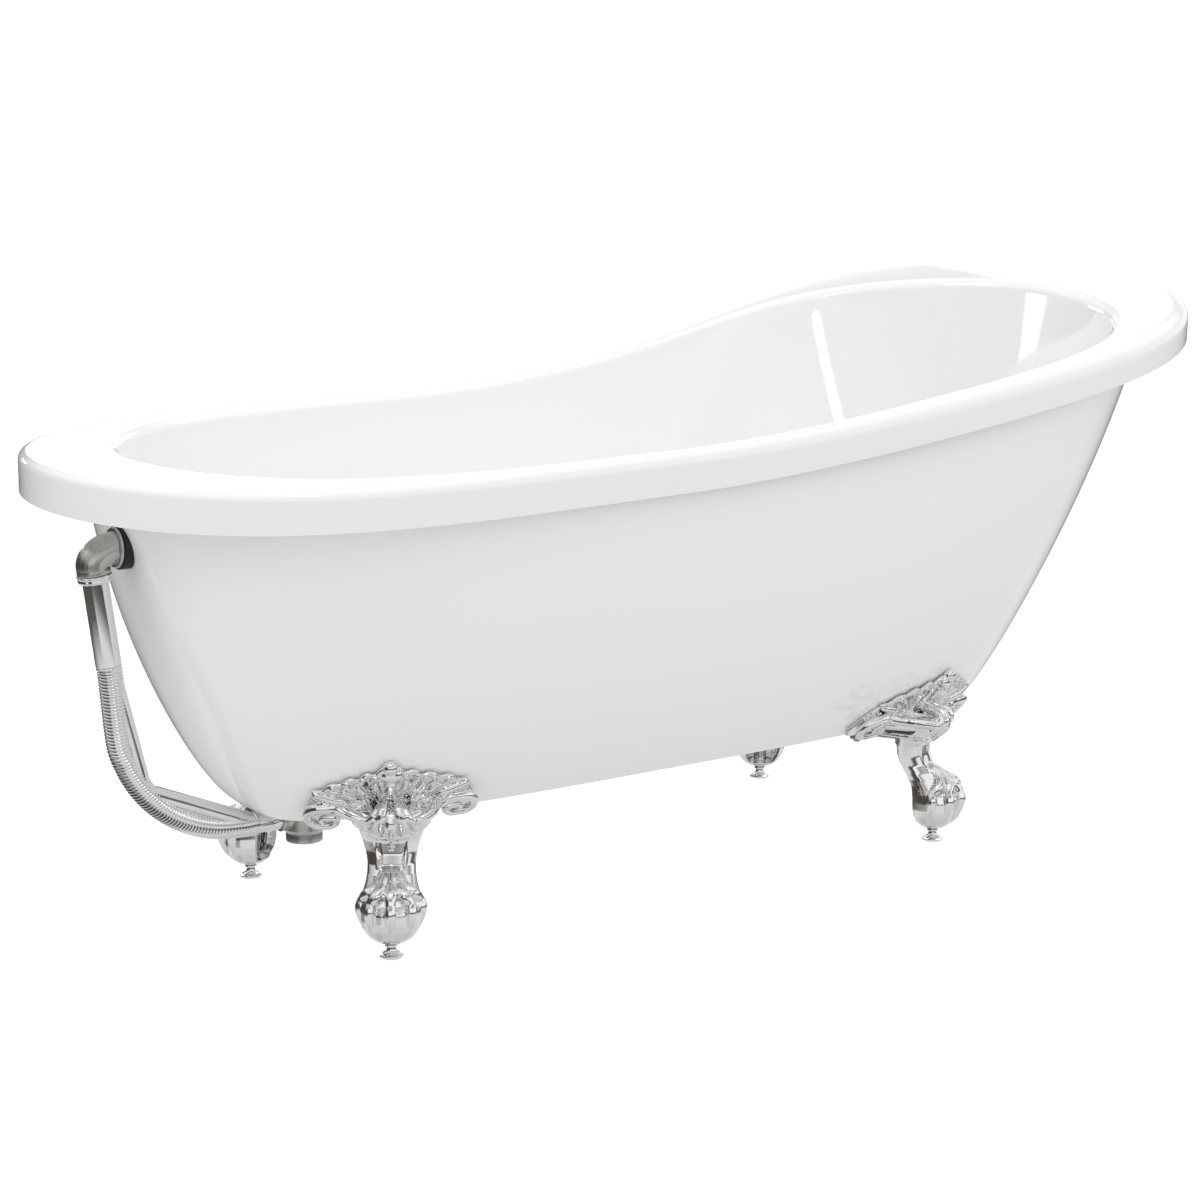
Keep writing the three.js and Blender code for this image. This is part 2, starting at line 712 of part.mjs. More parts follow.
function makeFoot(place) {
  const group = new THREE.Group();
  group.applyMatrix4(footMatrix(place));
  tub.add(group);
  add(`claw_foot_${place.name}`, makeCasting(place), colours.chrome, group);
  add(`leveller_${place.name}`, levellerGeometry(), colours.chrome, group);

  const nutBore = LEVELLER_STEM_RADIUS + THREAD_GAP;
  const lockNut = hexagonRing(LOCK_NUT_FLATS, nutBore, 0, LOCK_NUT_HEIGHT);
  add(`lock_nut_${place.name}`, lockNut, colours.chrome, group).position.z = PAD_HEIGHT + 1 + FIT;

  const boltBore = BOLT_RADIUS + THREAD_GAP;
  const plate = ring(boltBore, SPREADER_RADIUS, 0, SPREADER_THICKNESS, SMALL_ROUND);
  add(`spreader_plate_${place.name}`, plate, colours.steel, group).position.set(-BOLT_REACH, 0, boardBottom);

  const headSeat = boardBottom + SPREADER_THICKNESS + FIT;
  const washerTop = tongueTop - TONGUE_THICKNESS - FIT;
  const nutTop = washerTop - WASHER_THICKNESS - FIT;
  const boltEnd = nutTop - NUT_HEIGHT - 4;
  const shank = solidOf(disc(BOLT_RADIUS, boltEnd, headSeat + 1, SMALL_ROUND));
  const bolt = shank.add(solidOf(hexagon(BOLT_HEAD_FLATS, headSeat, headSeat + BOLT_HEAD_HEIGHT)));
  add(`foot_bolt_${place.name}`, geometryOf(bolt), colours.steel, group).position.x = -BOLT_REACH;

  const washer = ring(boltBore, WASHER_RADIUS, washerTop - WASHER_THICKNESS, washerTop, SMALL_ROUND);
  add(`foot_washer_${place.name}`, washer, colours.steel, group).position.x = -BOLT_REACH;
  const nut = hexagonRing(NUT_FLATS, boltBore, nutTop - NUT_HEIGHT, nutTop);
  add(`foot_nut_${place.name}`, nut, colours.steel, group).position.x = -BOLT_REACH;
}

// ---------------------------------------------------------------------------
// Drain, plug and waste
// ---------------------------------------------------------------------------

const flangeSeat = floorHeight + FIT + 1.5 + FIT;
const flangeTop = flangeSeat + 3;
const gasketBottom = SKIRT_BOTTOM - FIT - 3;
const shoeTop = gasketBottom - FIT;
const outletEnd = SKIRT_BOTTOM - OUTLET_DROP;
const outletTop = outletEnd + 10;
const tailEnd = shoeTop - 17;

function makeDrain() {
  const group = new THREE.Group();
  group.position.x = drainX;
  tub.add(group);

  const gasket = ring(TAIL_RADIUS + FIT, FLANGE_RADIUS - 3, floorHeight + FIT, floorHeight + FIT + 1.5);
  add("drain_gasket", gasket, colours.rubber, group);

  // flange and tail in one, with a bar across the bottom that guides the plug's stem
  const shell = solidOf(
    turned([
      [TAIL_BORE, tailEnd],
      [TAIL_RADIUS, tailEnd],
      [TAIL_RADIUS, flangeSeat],
      [FLANGE_RADIUS, flangeSeat],
      [FLANGE_RADIUS - 1.5, flangeTop],
      [TAIL_BORE + 7, flangeTop],
      [TAIL_BORE, flangeSeat - 3],
      [TAIL_BORE, tailEnd],
    ]),
  );
  const bar = new THREE.BoxGeometry(2 * TAIL_BORE + 2, 2 * STEM_RADIUS + 7, GUIDE_THICKNESS);
  bar.translate(0, 0, tailEnd + GUIDE_THICKNESS / 2);
  const flange = shell
    .add(solidOf(bar))
    .subtract(solidOf(disc(STEM_RADIUS + THREAD_GAP, tailEnd - 5, flangeTop, SMALL_ROUND)));
  add("drain_flange", geometryOf(flange), colours.chrome, group);

  const capBottom = flangeTop + FIT;
  const cap = turned([
    [0, capBottom],
    [PLUG_RADIUS, capBottom],
    [PLUG_RADIUS, capBottom + 1.5],
    [PLUG_RADIUS - 3, capBottom + 4],
    [PLUG_RADIUS / 2, capBottom + 6],
    [0, capBottom + 6.5],
  ]);
  add("plug_cap", cap, colours.chrome, group);
  const sealTop = capBottom - FIT;
  const seal = ring(STEM_RADIUS + 3 + FIT, TAIL_BORE + 4, sealTop - 1.5, sealTop);
  add("plug_seal", seal, colours.rubber, group);
  const stem = turned([
    [0, tailEnd - 2],
    [STEM_RADIUS, tailEnd - 2],
    [STEM_RADIUS, sealTop - 4],
    [STEM_RADIUS + 3, sealTop - 4],
    [STEM_RADIUS + 3, sealTop],
    [0, sealTop],
  ], 12);
  add("plug_stem", stem, colours.nickel, group);

  const shoeGasket = ring(TAIL_RADIUS + 1, SHOE_RADIUS + 5, gasketBottom, gasketBottom + 3);
  add("shoe_gasket", shoeGasket, colours.rubber, group);

  // the shoe: an upright cup with a spigot below and a socket for the lower pipe at its side
  const socketMouth = -SOCKET_REACH;
  const side = new THREE.Vector3(socketMouth, 0, lowerPipeHeight);
  const middle = new THREE.Vector3(0, 0, lowerPipeHeight);
  const reach = -socketMouth;
  const cup = turned([
    [0, outletTop + FIT],
    [SHOE_RADIUS - 2, outletTop + FIT],
    [SHOE_RADIUS, outletTop + 5],
    [SHOE_RADIUS, shoeTop - 4],
    [SHOE_RADIUS + 5, shoeTop - 4],
    [SHOE_RADIUS + 5, shoeTop],
    [0, shoeTop],
  ]);
  const socketRadius = LOWER_PIPE_RADIUS + THREAD_GAP;
  const spigot = disc(OUTLET_BORE + 2.4, outletEnd + FIT, outletTop + 2);
  const shoe = solidOf(cup)
    .add(solidOf(spigot))
    .add(solidOf(aimed(disc(socketRadius + 2, 0, reach), side, middle)))
    .subtract(solidOf(disc(TAIL_RADIUS + THREAD_GAP, tailEnd - 6, shoeTop + 1)))
    .subtract(solidOf(disc(OUTLET_BORE, outletEnd - 1, shoeTop)))
    .subtract(solidOf(aimed(disc(socketRadius, -1, SOCKET_DEPTH), side, middle)))
    .subtract(solidOf(aimed(disc(LOWER_PIPE_RADIUS - 3, 0, reach), side, middle)));
  add("waste_shoe", geometryOf(shoe), colours.nickel, group);

  const outlet = ring(OUTLET_BORE + 2.7, OUTLET_RADIUS, outletEnd, outletTop);
  add("outlet_ring", outlet, colours.nickel, group);
}

// ---------------------------------------------------------------------------
// Overflow, pipe and hose
// ---------------------------------------------------------------------------

const elbowFace = wallX(skirtSheet, overflowHeight) - OUTER_GASKET_THICKNESS;
const pipeTop = new THREE.Vector3(elbowFace - PIPE_OUT, 0, overflowHeight - PIPE_DROP);
const pipeBottom = new THREE.Vector3(pipeTop.x + PIPE_RUN.in, 0, pipeTop.z - PIPE_RUN.down);

function makeOverflow() {
  const basinX = wallX(waterSheet, overflowHeight);
  const at = (x, z = overflowHeight) => new THREE.Vector3(x, 0, z);
  const level = at(1).sub(at(0));

  // the outer gasket is a wedge: square to the elbow on one side, on the slope of the skirt on the other
  const gasketFrom = at(elbowFace + FIT);
  const gasketTo = gasketFrom.clone().add(level);
  const outerGasket = solidOf(aimed(ring(OVERFLOW_TAIL + 0.6, GASKET_RADIUS, 0, 40), gasketFrom, gasketTo));
  const outsideSkirt = outerGasket.subtract(solidOf(filled(skirtSheet, FIT, false)));
  add("overflow_outer_gasket", geometryOf(outsideSkirt), colours.rubber);

  // the inner gasket fills the wedge between the basin's slope and the rose
  const roseFace = basinX + INNER_GASKET_THICKNESS;
  const innerFrom = at(roseFace - FIT);
  const innerTo = innerFrom.clone().sub(level);
  const water = solidOf(filled(waterSheet, FIT, true));
  const innerRing = solidOf(aimed(ring(OVERFLOW_TAIL + 0.6, ROSE_RADIUS - 4, 0, 45), innerFrom, innerTo));
  add("overflow_inner_gasket", geometryOf(innerRing.intersect(water)), colours.rubber);

  // the elbow: a tail through both skins, a flange on the gasket and a bend down to the pipe
  const down = new THREE.Vector3().subVectors(pipeBottom, pipeTop).normalize();
  const bend = new THREE.CatmullRomCurve3([
    at(elbowFace - 1),
    at(elbowFace - 7),
    at(pipeTop.x + 8, overflowHeight - 2),
    pipeTop.clone().addScaledVector(down, -12),
    pipeTop,
  ]);
  const tail = aimed(disc(OVERFLOW_TAIL, 0, roseFace - 2 - elbowFace), at(elbowFace), gasketTo);
  const flange = aimed(disc(GASKET_RADIUS - 2, -4, 0), at(elbowFace), gasketTo);
  const bore = aimed(disc(OVERFLOW_BORE, -3, 200), at(elbowFace), gasketTo);
  const elbow = solidOf(swept(bend, ELBOW_RADIUS, 10))
    .add(solidOf(flange))
    .add(solidOf(tail))
    .subtract(solidOf(bore))
    .subtract(solidOf(swept(longer(bend), OVERFLOW_BORE, 12)));
  add("overflow_elbow", geometryOf(elbow), colours.nickel);

  // rose: a domed cover with a slot under it, held by one screw into the elbow's tail
  const rose = turned([
    [4, 0],
    [ROSE_RADIUS, 0],
    [ROSE_RADIUS, 3],
    [ROSE_RADIUS - 8, 7],
    [4, 8],
    [4, 0],
  ]);
  const slots = [-1, 0, 1].map((k) => new THREE.BoxGeometry(5, 14, 30).translate(k * 11, -15, 4));
  let cover = solidOf(rose);
  for (const slot of slots) cover = cover.subtract(solidOf(slot));
  const roseMesh = add("overflow_rose", geometryOf(cover), colours.chrome);
  roseMesh.position.copy(at(roseFace));
  roseMesh.quaternion.setFromRotationMatrix(
    new THREE.Matrix4().makeBasis(
      new THREE.Vector3(0, 1, 0),
      new THREE.Vector3(0, 0, 1),
      new THREE.Vector3(1, 0, 0),
    ),
  );
  const screw = turned([[0, -10], [3.6, -10], [3.6, 8.3], [7, 8.3], [6, 11], [0, 11.5]], 12);
  add("overflow_screw", aimed(screw, at(roseFace), at(roseFace + 1)), colours.chrome);

  // collar nut, pipe and hose
  const collarTop = pipeTop.clone().addScaledVector(down, FIT);
  const collar = turned([
    [PIPE_RADIUS + FIT, 0],
    [COLLAR_RADIUS - 1, 0],
    [COLLAR_RADIUS, 2],
    [COLLAR_RADIUS - 2, 4],
    [COLLAR_RADIUS - 0.5, 6.5],
    [COLLAR_RADIUS - 2, 9],
    [PIPE_RADIUS + FIT, 9],
    [PIPE_RADIUS + FIT, 0],
  ]);
  add("overflow_collar", aimed(collar, collarTop, pipeBottom), colours.chrome);

  const length = pipeTop.distanceTo(pipeBottom);
  const pipe = turned([
    [PIPE_BORE, 2 * FIT],
    [PIPE_RADIUS, 2 * FIT],
    [PIPE_RADIUS, length],
    [HOSE_BORE - SPIGOT_GAP, length],
    [HOSE_BORE - SPIGOT_GAP, length + SPIGOT_LENGTH],
    [PIPE_BORE, length + SPIGOT_LENGTH],
    [PIPE_BORE, 2 * FIT],
  ], 16);
  add("overflow_pipe", aimed(pipe, pipeTop, pipeBottom), colours.chrome);

  add("overflow_hose", sweptTube(hoseRoute(), HOSE_RADIUS, HOSE_BORE, 22, 10), colours.chrome);

  const socketMouth = drainX - SOCKET_REACH;
  const pipeStart = at(lowerPipeStart, lowerPipeHeight);
  const lower = turned([
    [PIPE_BORE - 1, -SPIGOT_LENGTH],
    [HOSE_BORE - SPIGOT_GAP, -SPIGOT_LENGTH],
    [HOSE_BORE - SPIGOT_GAP, FIT],
    [LOWER_PIPE_RADIUS, FIT],
    [LOWER_PIPE_RADIUS, socketMouth - lowerPipeStart + SOCKET_DEPTH - 1],
    [PIPE_BORE - 1, socketMouth - lowerPipeStart + SOCKET_DEPTH - 1],
    [PIPE_BORE - 1, -SPIGOT_LENGTH],
  ], 16);
  const lowerEnd = at(socketMouth, lowerPipeHeight);
  add("lower_pipe", aimed(lower, pipeStart, lowerEnd), colours.chrome);
}

// The same curve with both ends drawn out, so that a bore along it opens both ends.
function longer(curve) {
  const start = curve.getPoint(0).addScaledVector(curve.getTangent(0), -2);
  const end = curve.getPoint(1).addScaledVector(curve.getTangent(1), 2);
  return new THREE.CatmullRomCurve3([start, ...curve.points, end]);
}

// The hose goes on in line with the pipe, turns a wide quarter round and ends level at the lower pipe.
function hoseRoute() {
  const top = pipeBottom;
  const down = top.clone().sub(pipeTop).normalize();
  const start = top.clone().addScaledVector(down, FIT);
  const end = new THREE.Vector3(lowerPipeStart, 0, lowerPipeHeight);
  const radius = end.x - top.x - 2 * SPIGOT_LENGTH;
  const centre = new THREE.Vector3(end.x - 1.5 * SPIGOT_LENGTH, 0, lowerPipeHeight + radius);
  const points = [start, start.clone().addScaledVector(down, SPIGOT_LENGTH + 3)];
  for (let k = 1; k <= 8; k++) {
    const a = Math.PI + (Math.PI / 2) * (k / 8);
    points.push(centre.clone().add(new THREE.Vector3(radius * Math.cos(a), 0, radius * Math.sin(a))));
  }
  points.push(end);
  return new THREE.CatmullRomCurve3(points);
}

makeShells();
makeBoard();
FOOT_PLACES.forEach(makeFoot);
makeDrain();
makeOverflow();

export default tub;
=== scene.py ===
import math

import bmesh
import bpy
from mathutils import Matrix, Vector
from mathutils.bvhtree import BVHTree


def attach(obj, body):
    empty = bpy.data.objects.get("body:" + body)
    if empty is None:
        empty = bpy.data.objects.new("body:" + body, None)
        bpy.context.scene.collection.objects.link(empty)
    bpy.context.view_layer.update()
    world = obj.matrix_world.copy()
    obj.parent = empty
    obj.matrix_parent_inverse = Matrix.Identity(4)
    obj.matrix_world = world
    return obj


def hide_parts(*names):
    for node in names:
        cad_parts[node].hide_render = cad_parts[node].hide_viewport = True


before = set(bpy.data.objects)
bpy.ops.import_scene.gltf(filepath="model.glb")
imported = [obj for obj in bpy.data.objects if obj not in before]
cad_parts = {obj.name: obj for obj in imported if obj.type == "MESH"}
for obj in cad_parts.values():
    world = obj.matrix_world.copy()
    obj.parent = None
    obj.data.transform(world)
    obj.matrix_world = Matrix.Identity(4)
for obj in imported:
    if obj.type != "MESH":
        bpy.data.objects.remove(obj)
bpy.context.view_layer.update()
bpy.ops.object.select_all(action="DESELECT")


# ---- Camera ----
# A long lens stands near the drain end, a little above the rim, and looks down the tub.
camera_place = Vector((-1.744, -2.385, 0.9406))
camera_turn = Matrix.Rotation(-0.6212, 4, "Z") @ Matrix.Rotation(math.pi / 2 - 0.2011, 4, "X")
bpy.ops.object.camera_add(location=camera_place)
camera = bpy.context.object
camera.name = "camera"
camera.rotation_euler = (camera_turn @ Matrix.Rotation(0.0136, 4, "Z")).to_euler()
camera.data.lens = 70.16
camera.data.sensor_width = 36.0
camera.data.clip_end = 50.0
bpy.context.scene.camera = camera


# ---- Floor and studio light ----
# The tub stands on a lit white table top in a white studio. Dark cloth hangs round the drain end and its
# far side, so that polished metal has something dark to reflect. Soft boxes hang round the tub, and only
# gloss picks them up. The table doesn't light the tub from below: the even studio light does.
TABLE_SIZE = 4.2
CLOTH_SIDE = (-0.766, 0.643, 0.0)
SOFT_LIGHT = [(0.0, (0.65, 0.65, 0.65)), (0.5, (0.87, 0.87, 0.87)), (1.0, (1.10, 1.10, 1.10))]
BRIGHT_SIDE = [
    (0.0, (0.60, 0.60, 0.60)), (0.30, (0.80, 0.80, 0.80)), (0.40, (0.16, 0.15, 0.14)),
    (0.47, (0.07, 0.06, 0.06)), (0.52, (0.90, 0.90, 0.90)), (0.64, (1.10, 1.10, 1.10)),
    (0.74, (0.30, 0.29, 0.28)), (0.86, (1.0, 1.0, 1.0)),
]
CLOTH_SHADES = [
    (0.0, (0.45, 0.45, 0.45)), (0.22, (0.80, 0.80, 0.80)), (0.32, (0.12, 0.11, 0.10)),
    (0.44, (0.07, 0.06, 0.055)), (0.60, (0.085, 0.072, 0.066)), (0.70, (0.60, 0.59, 0.58)),
    (0.84, (1.0, 1.0, 1.0)), (1.0, (0.50, 0.50, 0.50)),
]


def table_paper():
    material = bpy.data.materials.new("studio_table")
    material.use_nodes = True
    nodes, links = material.node_tree.nodes, material.node_tree.links
    shader = nodes["Principled BSDF"]
    shader.inputs["Roughness"].default_value = 0.9
    shader.inputs["Specular IOR Level"].default_value = 0.1
    shader.inputs["Emission Color"].default_value = (1.0, 1.0, 1.0, 1)
    shader.inputs["Emission Strength"].default_value = 0.78
    place = nodes.new("ShaderNodeTexCoord")
    grain = nodes.new("ShaderNodeTexNoise")
    grain.inputs["Scale"].default_value = 40.0
    tint = nodes.new("ShaderNodeValToRGB")
    tint.color_ramp.elements[0].color = (0.38, 0.38, 0.38, 1)
    tint.color_ramp.elements[1].color = (0.42, 0.42, 0.42, 1)
    links.new(place.outputs["Object"], grain.inputs["Vector"])
    links.new(grain.outputs["Fac"], tint.inputs["Fac"])
    links.new(tint.outputs["Color"], shader.inputs["Base Color"])
    return material


bpy.ops.mesh.primitive_plane_add(size=TABLE_SIZE, location=(0, 0, -0.0005))
floor = bpy.context.object
floor.name = "studio_floor"
floor.data.materials.append(table_paper())
floor.visible_diffuse = False
floor.visible_glossy = False


def graded(nodes, links, height, name, steps):
    grade = nodes.new("ShaderNodeValToRGB")
    grade.name = name
    shades = grade.color_ramp.elements
    while len(shades) < len(steps):
        shades.new(0.5)
    for shade, (at, colour) in zip(shades, steps):
        shade.position = at
        shade.color = (*colour, 1)
    links.new(height, grade.inputs["Fac"])
    return grade.outputs["Color"]


def studio_air():
    world = bpy.data.worlds.new("studio_air")
    world.use_nodes = True
    nodes, links = world.node_tree.nodes, world.node_tree.links
    direction = nodes.new("ShaderNodeTexCoord").outputs["Generated"]

    facing = nodes.new("ShaderNodeVectorMath")
    facing.operation = "DOT_PRODUCT"
    facing.inputs[1].default_value = CLOTH_SIDE
    links.new(direction, facing.inputs[0])
    cloth = nodes.new("ShaderNodeMapRange")
    cloth.interpolation_type = "SMOOTHSTEP"
    cloth.inputs["From Min"].default_value = 0.29
    cloth.inputs["From Max"].default_value = 0.39
    links.new(facing.outputs["Value"], cloth.inputs["Value"])

    parts = nodes.new("ShaderNodeSeparateXYZ")
    links.new(direction, parts.inputs["Vector"])
    height = nodes.new("ShaderNodeMapRange")
    height.inputs["From Min"].default_value = -1.0
    links.new(parts.outputs["Z"], height.inputs["Value"])
    level = height.outputs["Result"]

    soft_light = graded(nodes, links, level, "soft_light", SOFT_LIGHT)
    bright_side = graded(nodes, links, level, "bright_side", BRIGHT_SIDE)
    cloth_side = graded(nodes, links, level, "cloth_side", CLOTH_SHADES)
    walls = nodes.new("ShaderNodeMixRGB")
    links.new(cloth.outputs["Result"], walls.inputs["Fac"])
    links.new(bright_side, walls.inputs["Color1"])
    links.new(cloth_side, walls.inputs["Color2"])

    ray = nodes.new("ShaderNodeLightPath")
    lit = nodes.new("ShaderNodeMixRGB")
    links.new(ray.outputs["Is Glossy Ray"], lit.inputs["Fac"])
    links.new(soft_light, lit.inputs["Color1"])
    links.new(walls.outputs["Color"], lit.inputs["Color2"])
    seen = nodes.new("ShaderNodeMixRGB")
    seen.inputs["Color2"].default_value = (1.05, 1.05, 1.05, 1)
    links.new(ray.outputs["Is Camera Ray"], seen.inputs["Fac"])
    links.new(lit.outputs["Color"], seen.inputs["Color1"])
    links.new(seen.outputs["Color"], nodes["Background"].inputs["Color"])
    return world


bpy.context.scene.world = studio_air()
bpy.context.scene.view_settings.view_transform = "Standard"


def soft_box(name, size, place, target, brightness, along=(0, 0, 1)):
    back = (Vector(place) - Vector(target)).normalized()
    across = Vector(along).cross(back).normalized()
    bpy.ops.object.light_add(type="AREA", location=place)
    lamp = bpy.context.object
    lamp.name = name
    lamp.data.shape = "RECTANGLE"
    lamp.data.size, lamp.data.size_y = size
    lamp.data.energy = brightness * size[0] * size[1] * math.pi
    lamp.rotation_euler = Matrix((across, back.cross(across), back)).transposed().to_euler()
    lamp.visible_camera = False
    lamp.visible_diffuse = False


soft_box("deck_box", (0.75, 0.50), (0.56, 2.87, 1.18), (-0.72, 0, 0.57), 5.0)
soft_box("rim_box", (0.70, 1.10), (2.40, 1.80, 1.73), (0.55, -0.33, 0.70), 5.0)
soft_box("head_strip_low", (0.32, 0.16), (-0.67, 2.20, 0.79), (0.50, 0, 0.60), 6.0)
soft_box(
    "head_strip_high", (0.24, 1.80), (-1.02, -0.56, 2.24), (0.57, 0.265, 0.65), 6.0,
    along=(0.07, 1.265, 0.73),
)
soft_box("elbow_box", (0.40, 0.40), (-0.70, 1.29, 2.00), (-0.72, 0, 0.47), 4.0)

bpy.ops.object.light_add(type="SUN", location=(0, 0, 4))
overhead = bpy.context.object
overhead.name = "overhead_panel"
overhead.data.energy = 0.3
overhead.data.angle = math.radians(50)
overhead.visible_glossy = False


# ---- Acrylic ----
# Both skins of the tub are one white acrylic sheet each, drawn over a mould and backed with glass fibre.
# The sheet is glossy with the faintest ripple from the mould.
def acrylic_finish():
    material = bpy.data.materials.new("white_acrylic")
    material.use_nodes = True
    nodes, links = material.node_tree.nodes, material.node_tree.links
    shader = nodes["Principled BSDF"]
    shader.inputs["IOR"].default_value = 1.49
    shader.inputs["Coat Weight"].default_value = 0.3
    shader.inputs["Coat Roughness"].default_value = 0.02
    place = nodes.new("ShaderNodeTexCoord")
    cloud = nodes.new("ShaderNodeTexNoise")
    cloud.inputs["Scale"].default_value = 2.2
    cloud.inputs["Detail"].default_value = 4.0
    tint = nodes.new("ShaderNodeValToRGB")
    tint.color_ramp.elements[0].color = (0.935, 0.933, 0.928, 1)
    tint.color_ramp.elements[1].color = (0.95, 0.95, 0.947, 1)
    gloss = nodes.new("ShaderNodeMapRange")
    gloss.inputs["To Min"].default_value = 0.06
    gloss.inputs["To Max"].default_value = 0.10
    ripple = nodes.new("ShaderNodeTexNoise")
    ripple.inputs["Scale"].default_value = 9.0
    ripple.inputs["Detail"].default_value = 1.0
    bump = nodes.new("ShaderNodeBump")
    bump.inputs["Strength"].default_value = 0.06
    bump.inputs["Distance"].default_value = 0.002
    for texture in (cloud, ripple):
        links.new(place.outputs["Object"], texture.inputs["Vector"])
    links.new(cloud.outputs["Fac"], tint.inputs["Fac"])
    links.new(cloud.outputs["Fac"], gloss.inputs["Value"])
    links.new(tint.outputs["Color"], shader.inputs["Base Color"])
    links.new(gloss.outputs["Result"], shader.inputs["Roughness"])
    links.new(ripple.outputs["Fac"], bump.inputs["Height"])
    links.new(bump.outputs["Normal"], shader.inputs["Normal"])
    return material


acrylic = acrylic_finish()


# ---- Basin ----
# The inner skin: a turned-down outer edge, a roll, a flat deck that is broadest at the drain end,
# and a deep basin that ends in a nearly flat bottom.
TUB_HALF = 0.775
STATIONS = 256


def power(value, exponent, soft=0.0):
    blunt = (value * value + soft * soft) / (1 + soft * soft)
    if soft == 0:
        return math.copysign(blunt ** (exponent / 2), value)
    return value * blunt ** ((exponent - 1) / 2)


def make_plan(drain, head, width, widest, flare, waist, drain_end, head_end):
    plan = dict(drain=drain, head=head, width=width, widest=widest, flare=flare, waist=waist)
    plan.update(drain_end=drain_end, head_end=head_end, scale=1.0)
    peak = max(plan_point(plan, math.pi * i / 180)[1] for i in range(1, 180))
    plan["scale"] = width / 2 / peak
    return plan


def plan_point(plan, angle):
    c, s = math.cos(angle), math.sin(angle)
    lengthways, sideways = plan["drain_end"] if c < 0 else plan["head_end"]
    reach = plan["widest"] - plan["drain"] if c < 0 else plan["head"] - plan["widest"]
    x = plan["widest"] + reach * power(c, 2 / lengthways)
    u = x / TUB_HALF
    waisted = 1 + plan["flare"] * u + plan["waist"] * u * u
    soft = 0.1 if sideways < 2 else 0.0
    return Vector((x, power(s, 2 / sideways, soft) * waisted * plan["scale"]))


def inset_plan(plan, drain, head, side):
    sizes = {key: value for key, value in plan.items() if key != "scale"}
    sizes.update(drain=plan["drain"] + drain, head=plan["head"] - head, width=plan["width"] - 2 * side)
    return make_plan(**sizes)


rim_plan = make_plan(
    drain=-TUB_HALF, head=TUB_HALF, width=0.780, widest=0.19065, flare=0.046, waist=0.43,
    drain_end=(4.07, 2.0), head_end=(4.41, 1.585),
)
basin_edge_plan = inset_plan(rim_plan, 0.112, 0.104, 0.052)
skirt_top_plan = inset_plan(rim_plan, 0.076, 0.077, 0.0315)
skirt_corner_plan = make_plan(
    drain=-0.627, head=0.663, width=0.535, widest=0.0, flare=0.0, waist=0.0,
    drain_end=(3.7, 3.7), head_end=(3.3, 3.3),
)
skirt_flat_plan = inset_plan(skirt_corner_plan, 0.091, 0.123, 0.144)
basin_corner_plan = inset_plan(skirt_corner_plan, 0.034, 0.034, 0.034)
basin_flat_plan = inset_plan(skirt_flat_plan, 0.026, 0.040, 0.036)


def even_angles(plan, count):
    fine = 8000
    spots = [plan_point(plan, 2 * math.pi * i / fine) for i in range(fine + 1)]
    along = [0.0]
    for a, b in zip(spots, spots[1:]):
        along.append(along[-1] + (b - a).length)
    half, i = [], 0
    for k in range(count // 2 + 1):
        while i < fine // 2 and along[i] < along[fine] * k / count:
            i += 1
        half.append(2 * math.pi * i / fine)
    return half + [2 * math.pi - angle for angle in reversed(half[1:-1])]


angles = even_angles(rim_plan, STATIONS)


def rim_height(x):
    sweep = max(0.0, (x + 0.150) / (TUB_HALF + 0.150))
    return 0.566 + 0.040 * (x / (2 * TUB_HALF) + 0.5) + 0.155 * sweep ** 1.85


def rim_ring(plan, below):
    ring = []
    for angle in angles:
        x, y = plan_point(plan, angle)
        ring.append(Vector((x, y, rim_height(x) - below)))
    return ring


def level_ring(plan, height):
    return [Vector((*plan_point(plan, angle), height)) for angle in angles]


def wall_rings(edge, corner, flat, count):
    rings = []
    for k in range(1, count + 1):
        t = k / count
        ring = []
        for p, c, f in zip(edge, corner, flat):
            down, along = p.lerp(c, 0.58), f.lerp(c, 0.27)
            ring.append(
                p * (1 - t) ** 3 + down * (3 * t * (1 - t) ** 2)
                + along * (3 * t * t * (1 - t)) + f * t ** 3
            )
        rings.append(ring)
    return rings


def drawn_skin(name, rings, wall):
    """A circle is laid at the outer edge, extruded inwards ring by ring and closed at the bottom."""
    bpy.ops.object.select_all(action="DESELECT")
    bpy.ops.mesh.primitive_circle_add(vertices=len(rings[0]), radius=1.0)
    skin = bpy.context.object
    skin.name = skin.data.name = name
    bpy.ops.object.mode_set(mode="EDIT")
    mesh = bmesh.from_edit_mesh(skin.data)
    station = mesh.verts.layers.int.new("station")
    mesh.verts.ensure_lookup_table()
    for i, vertex in enumerate(mesh.verts):
        vertex[station] = i
        vertex.co = rings[0][i]
    bpy.ops.mesh.select_all(action="SELECT")
    for ring in rings[1:]:
        bpy.ops.mesh.extrude_edges_move()
        mesh = bmesh.from_edit_mesh(skin.data)
        station = mesh.verts.layers.int["station"]
        for vertex in mesh.verts:
            if vertex.select:
                vertex.co = ring[vertex[station]]
    bpy.ops.mesh.edge_face_add()
    bpy.ops.mesh.select_all(action="SELECT")
    bpy.ops.mesh.normals_make_consistent(inside=False)
    bpy.ops.object.mode_set(mode="OBJECT")
    thicken = skin.modifiers.new("wall", "SOLIDIFY")
    thicken.thickness = wall
    thicken.offset = -1.0
    bpy.ops.object.modifier_apply(modifier=thicken.name)
    return skin


ROLL_STEPS = 8
basin_floor = 0.1464 + 0.004 + 0.0003 + 0.015 + 0.0003 + 0.005
RIM_DROP = 0.046


def roll_radius(x):
    """The outer roll is crisp at the drain end and soft at the head."""
    return 0.010 + 0.010 * (x / (2 * TUB_HALF) + 0.5)


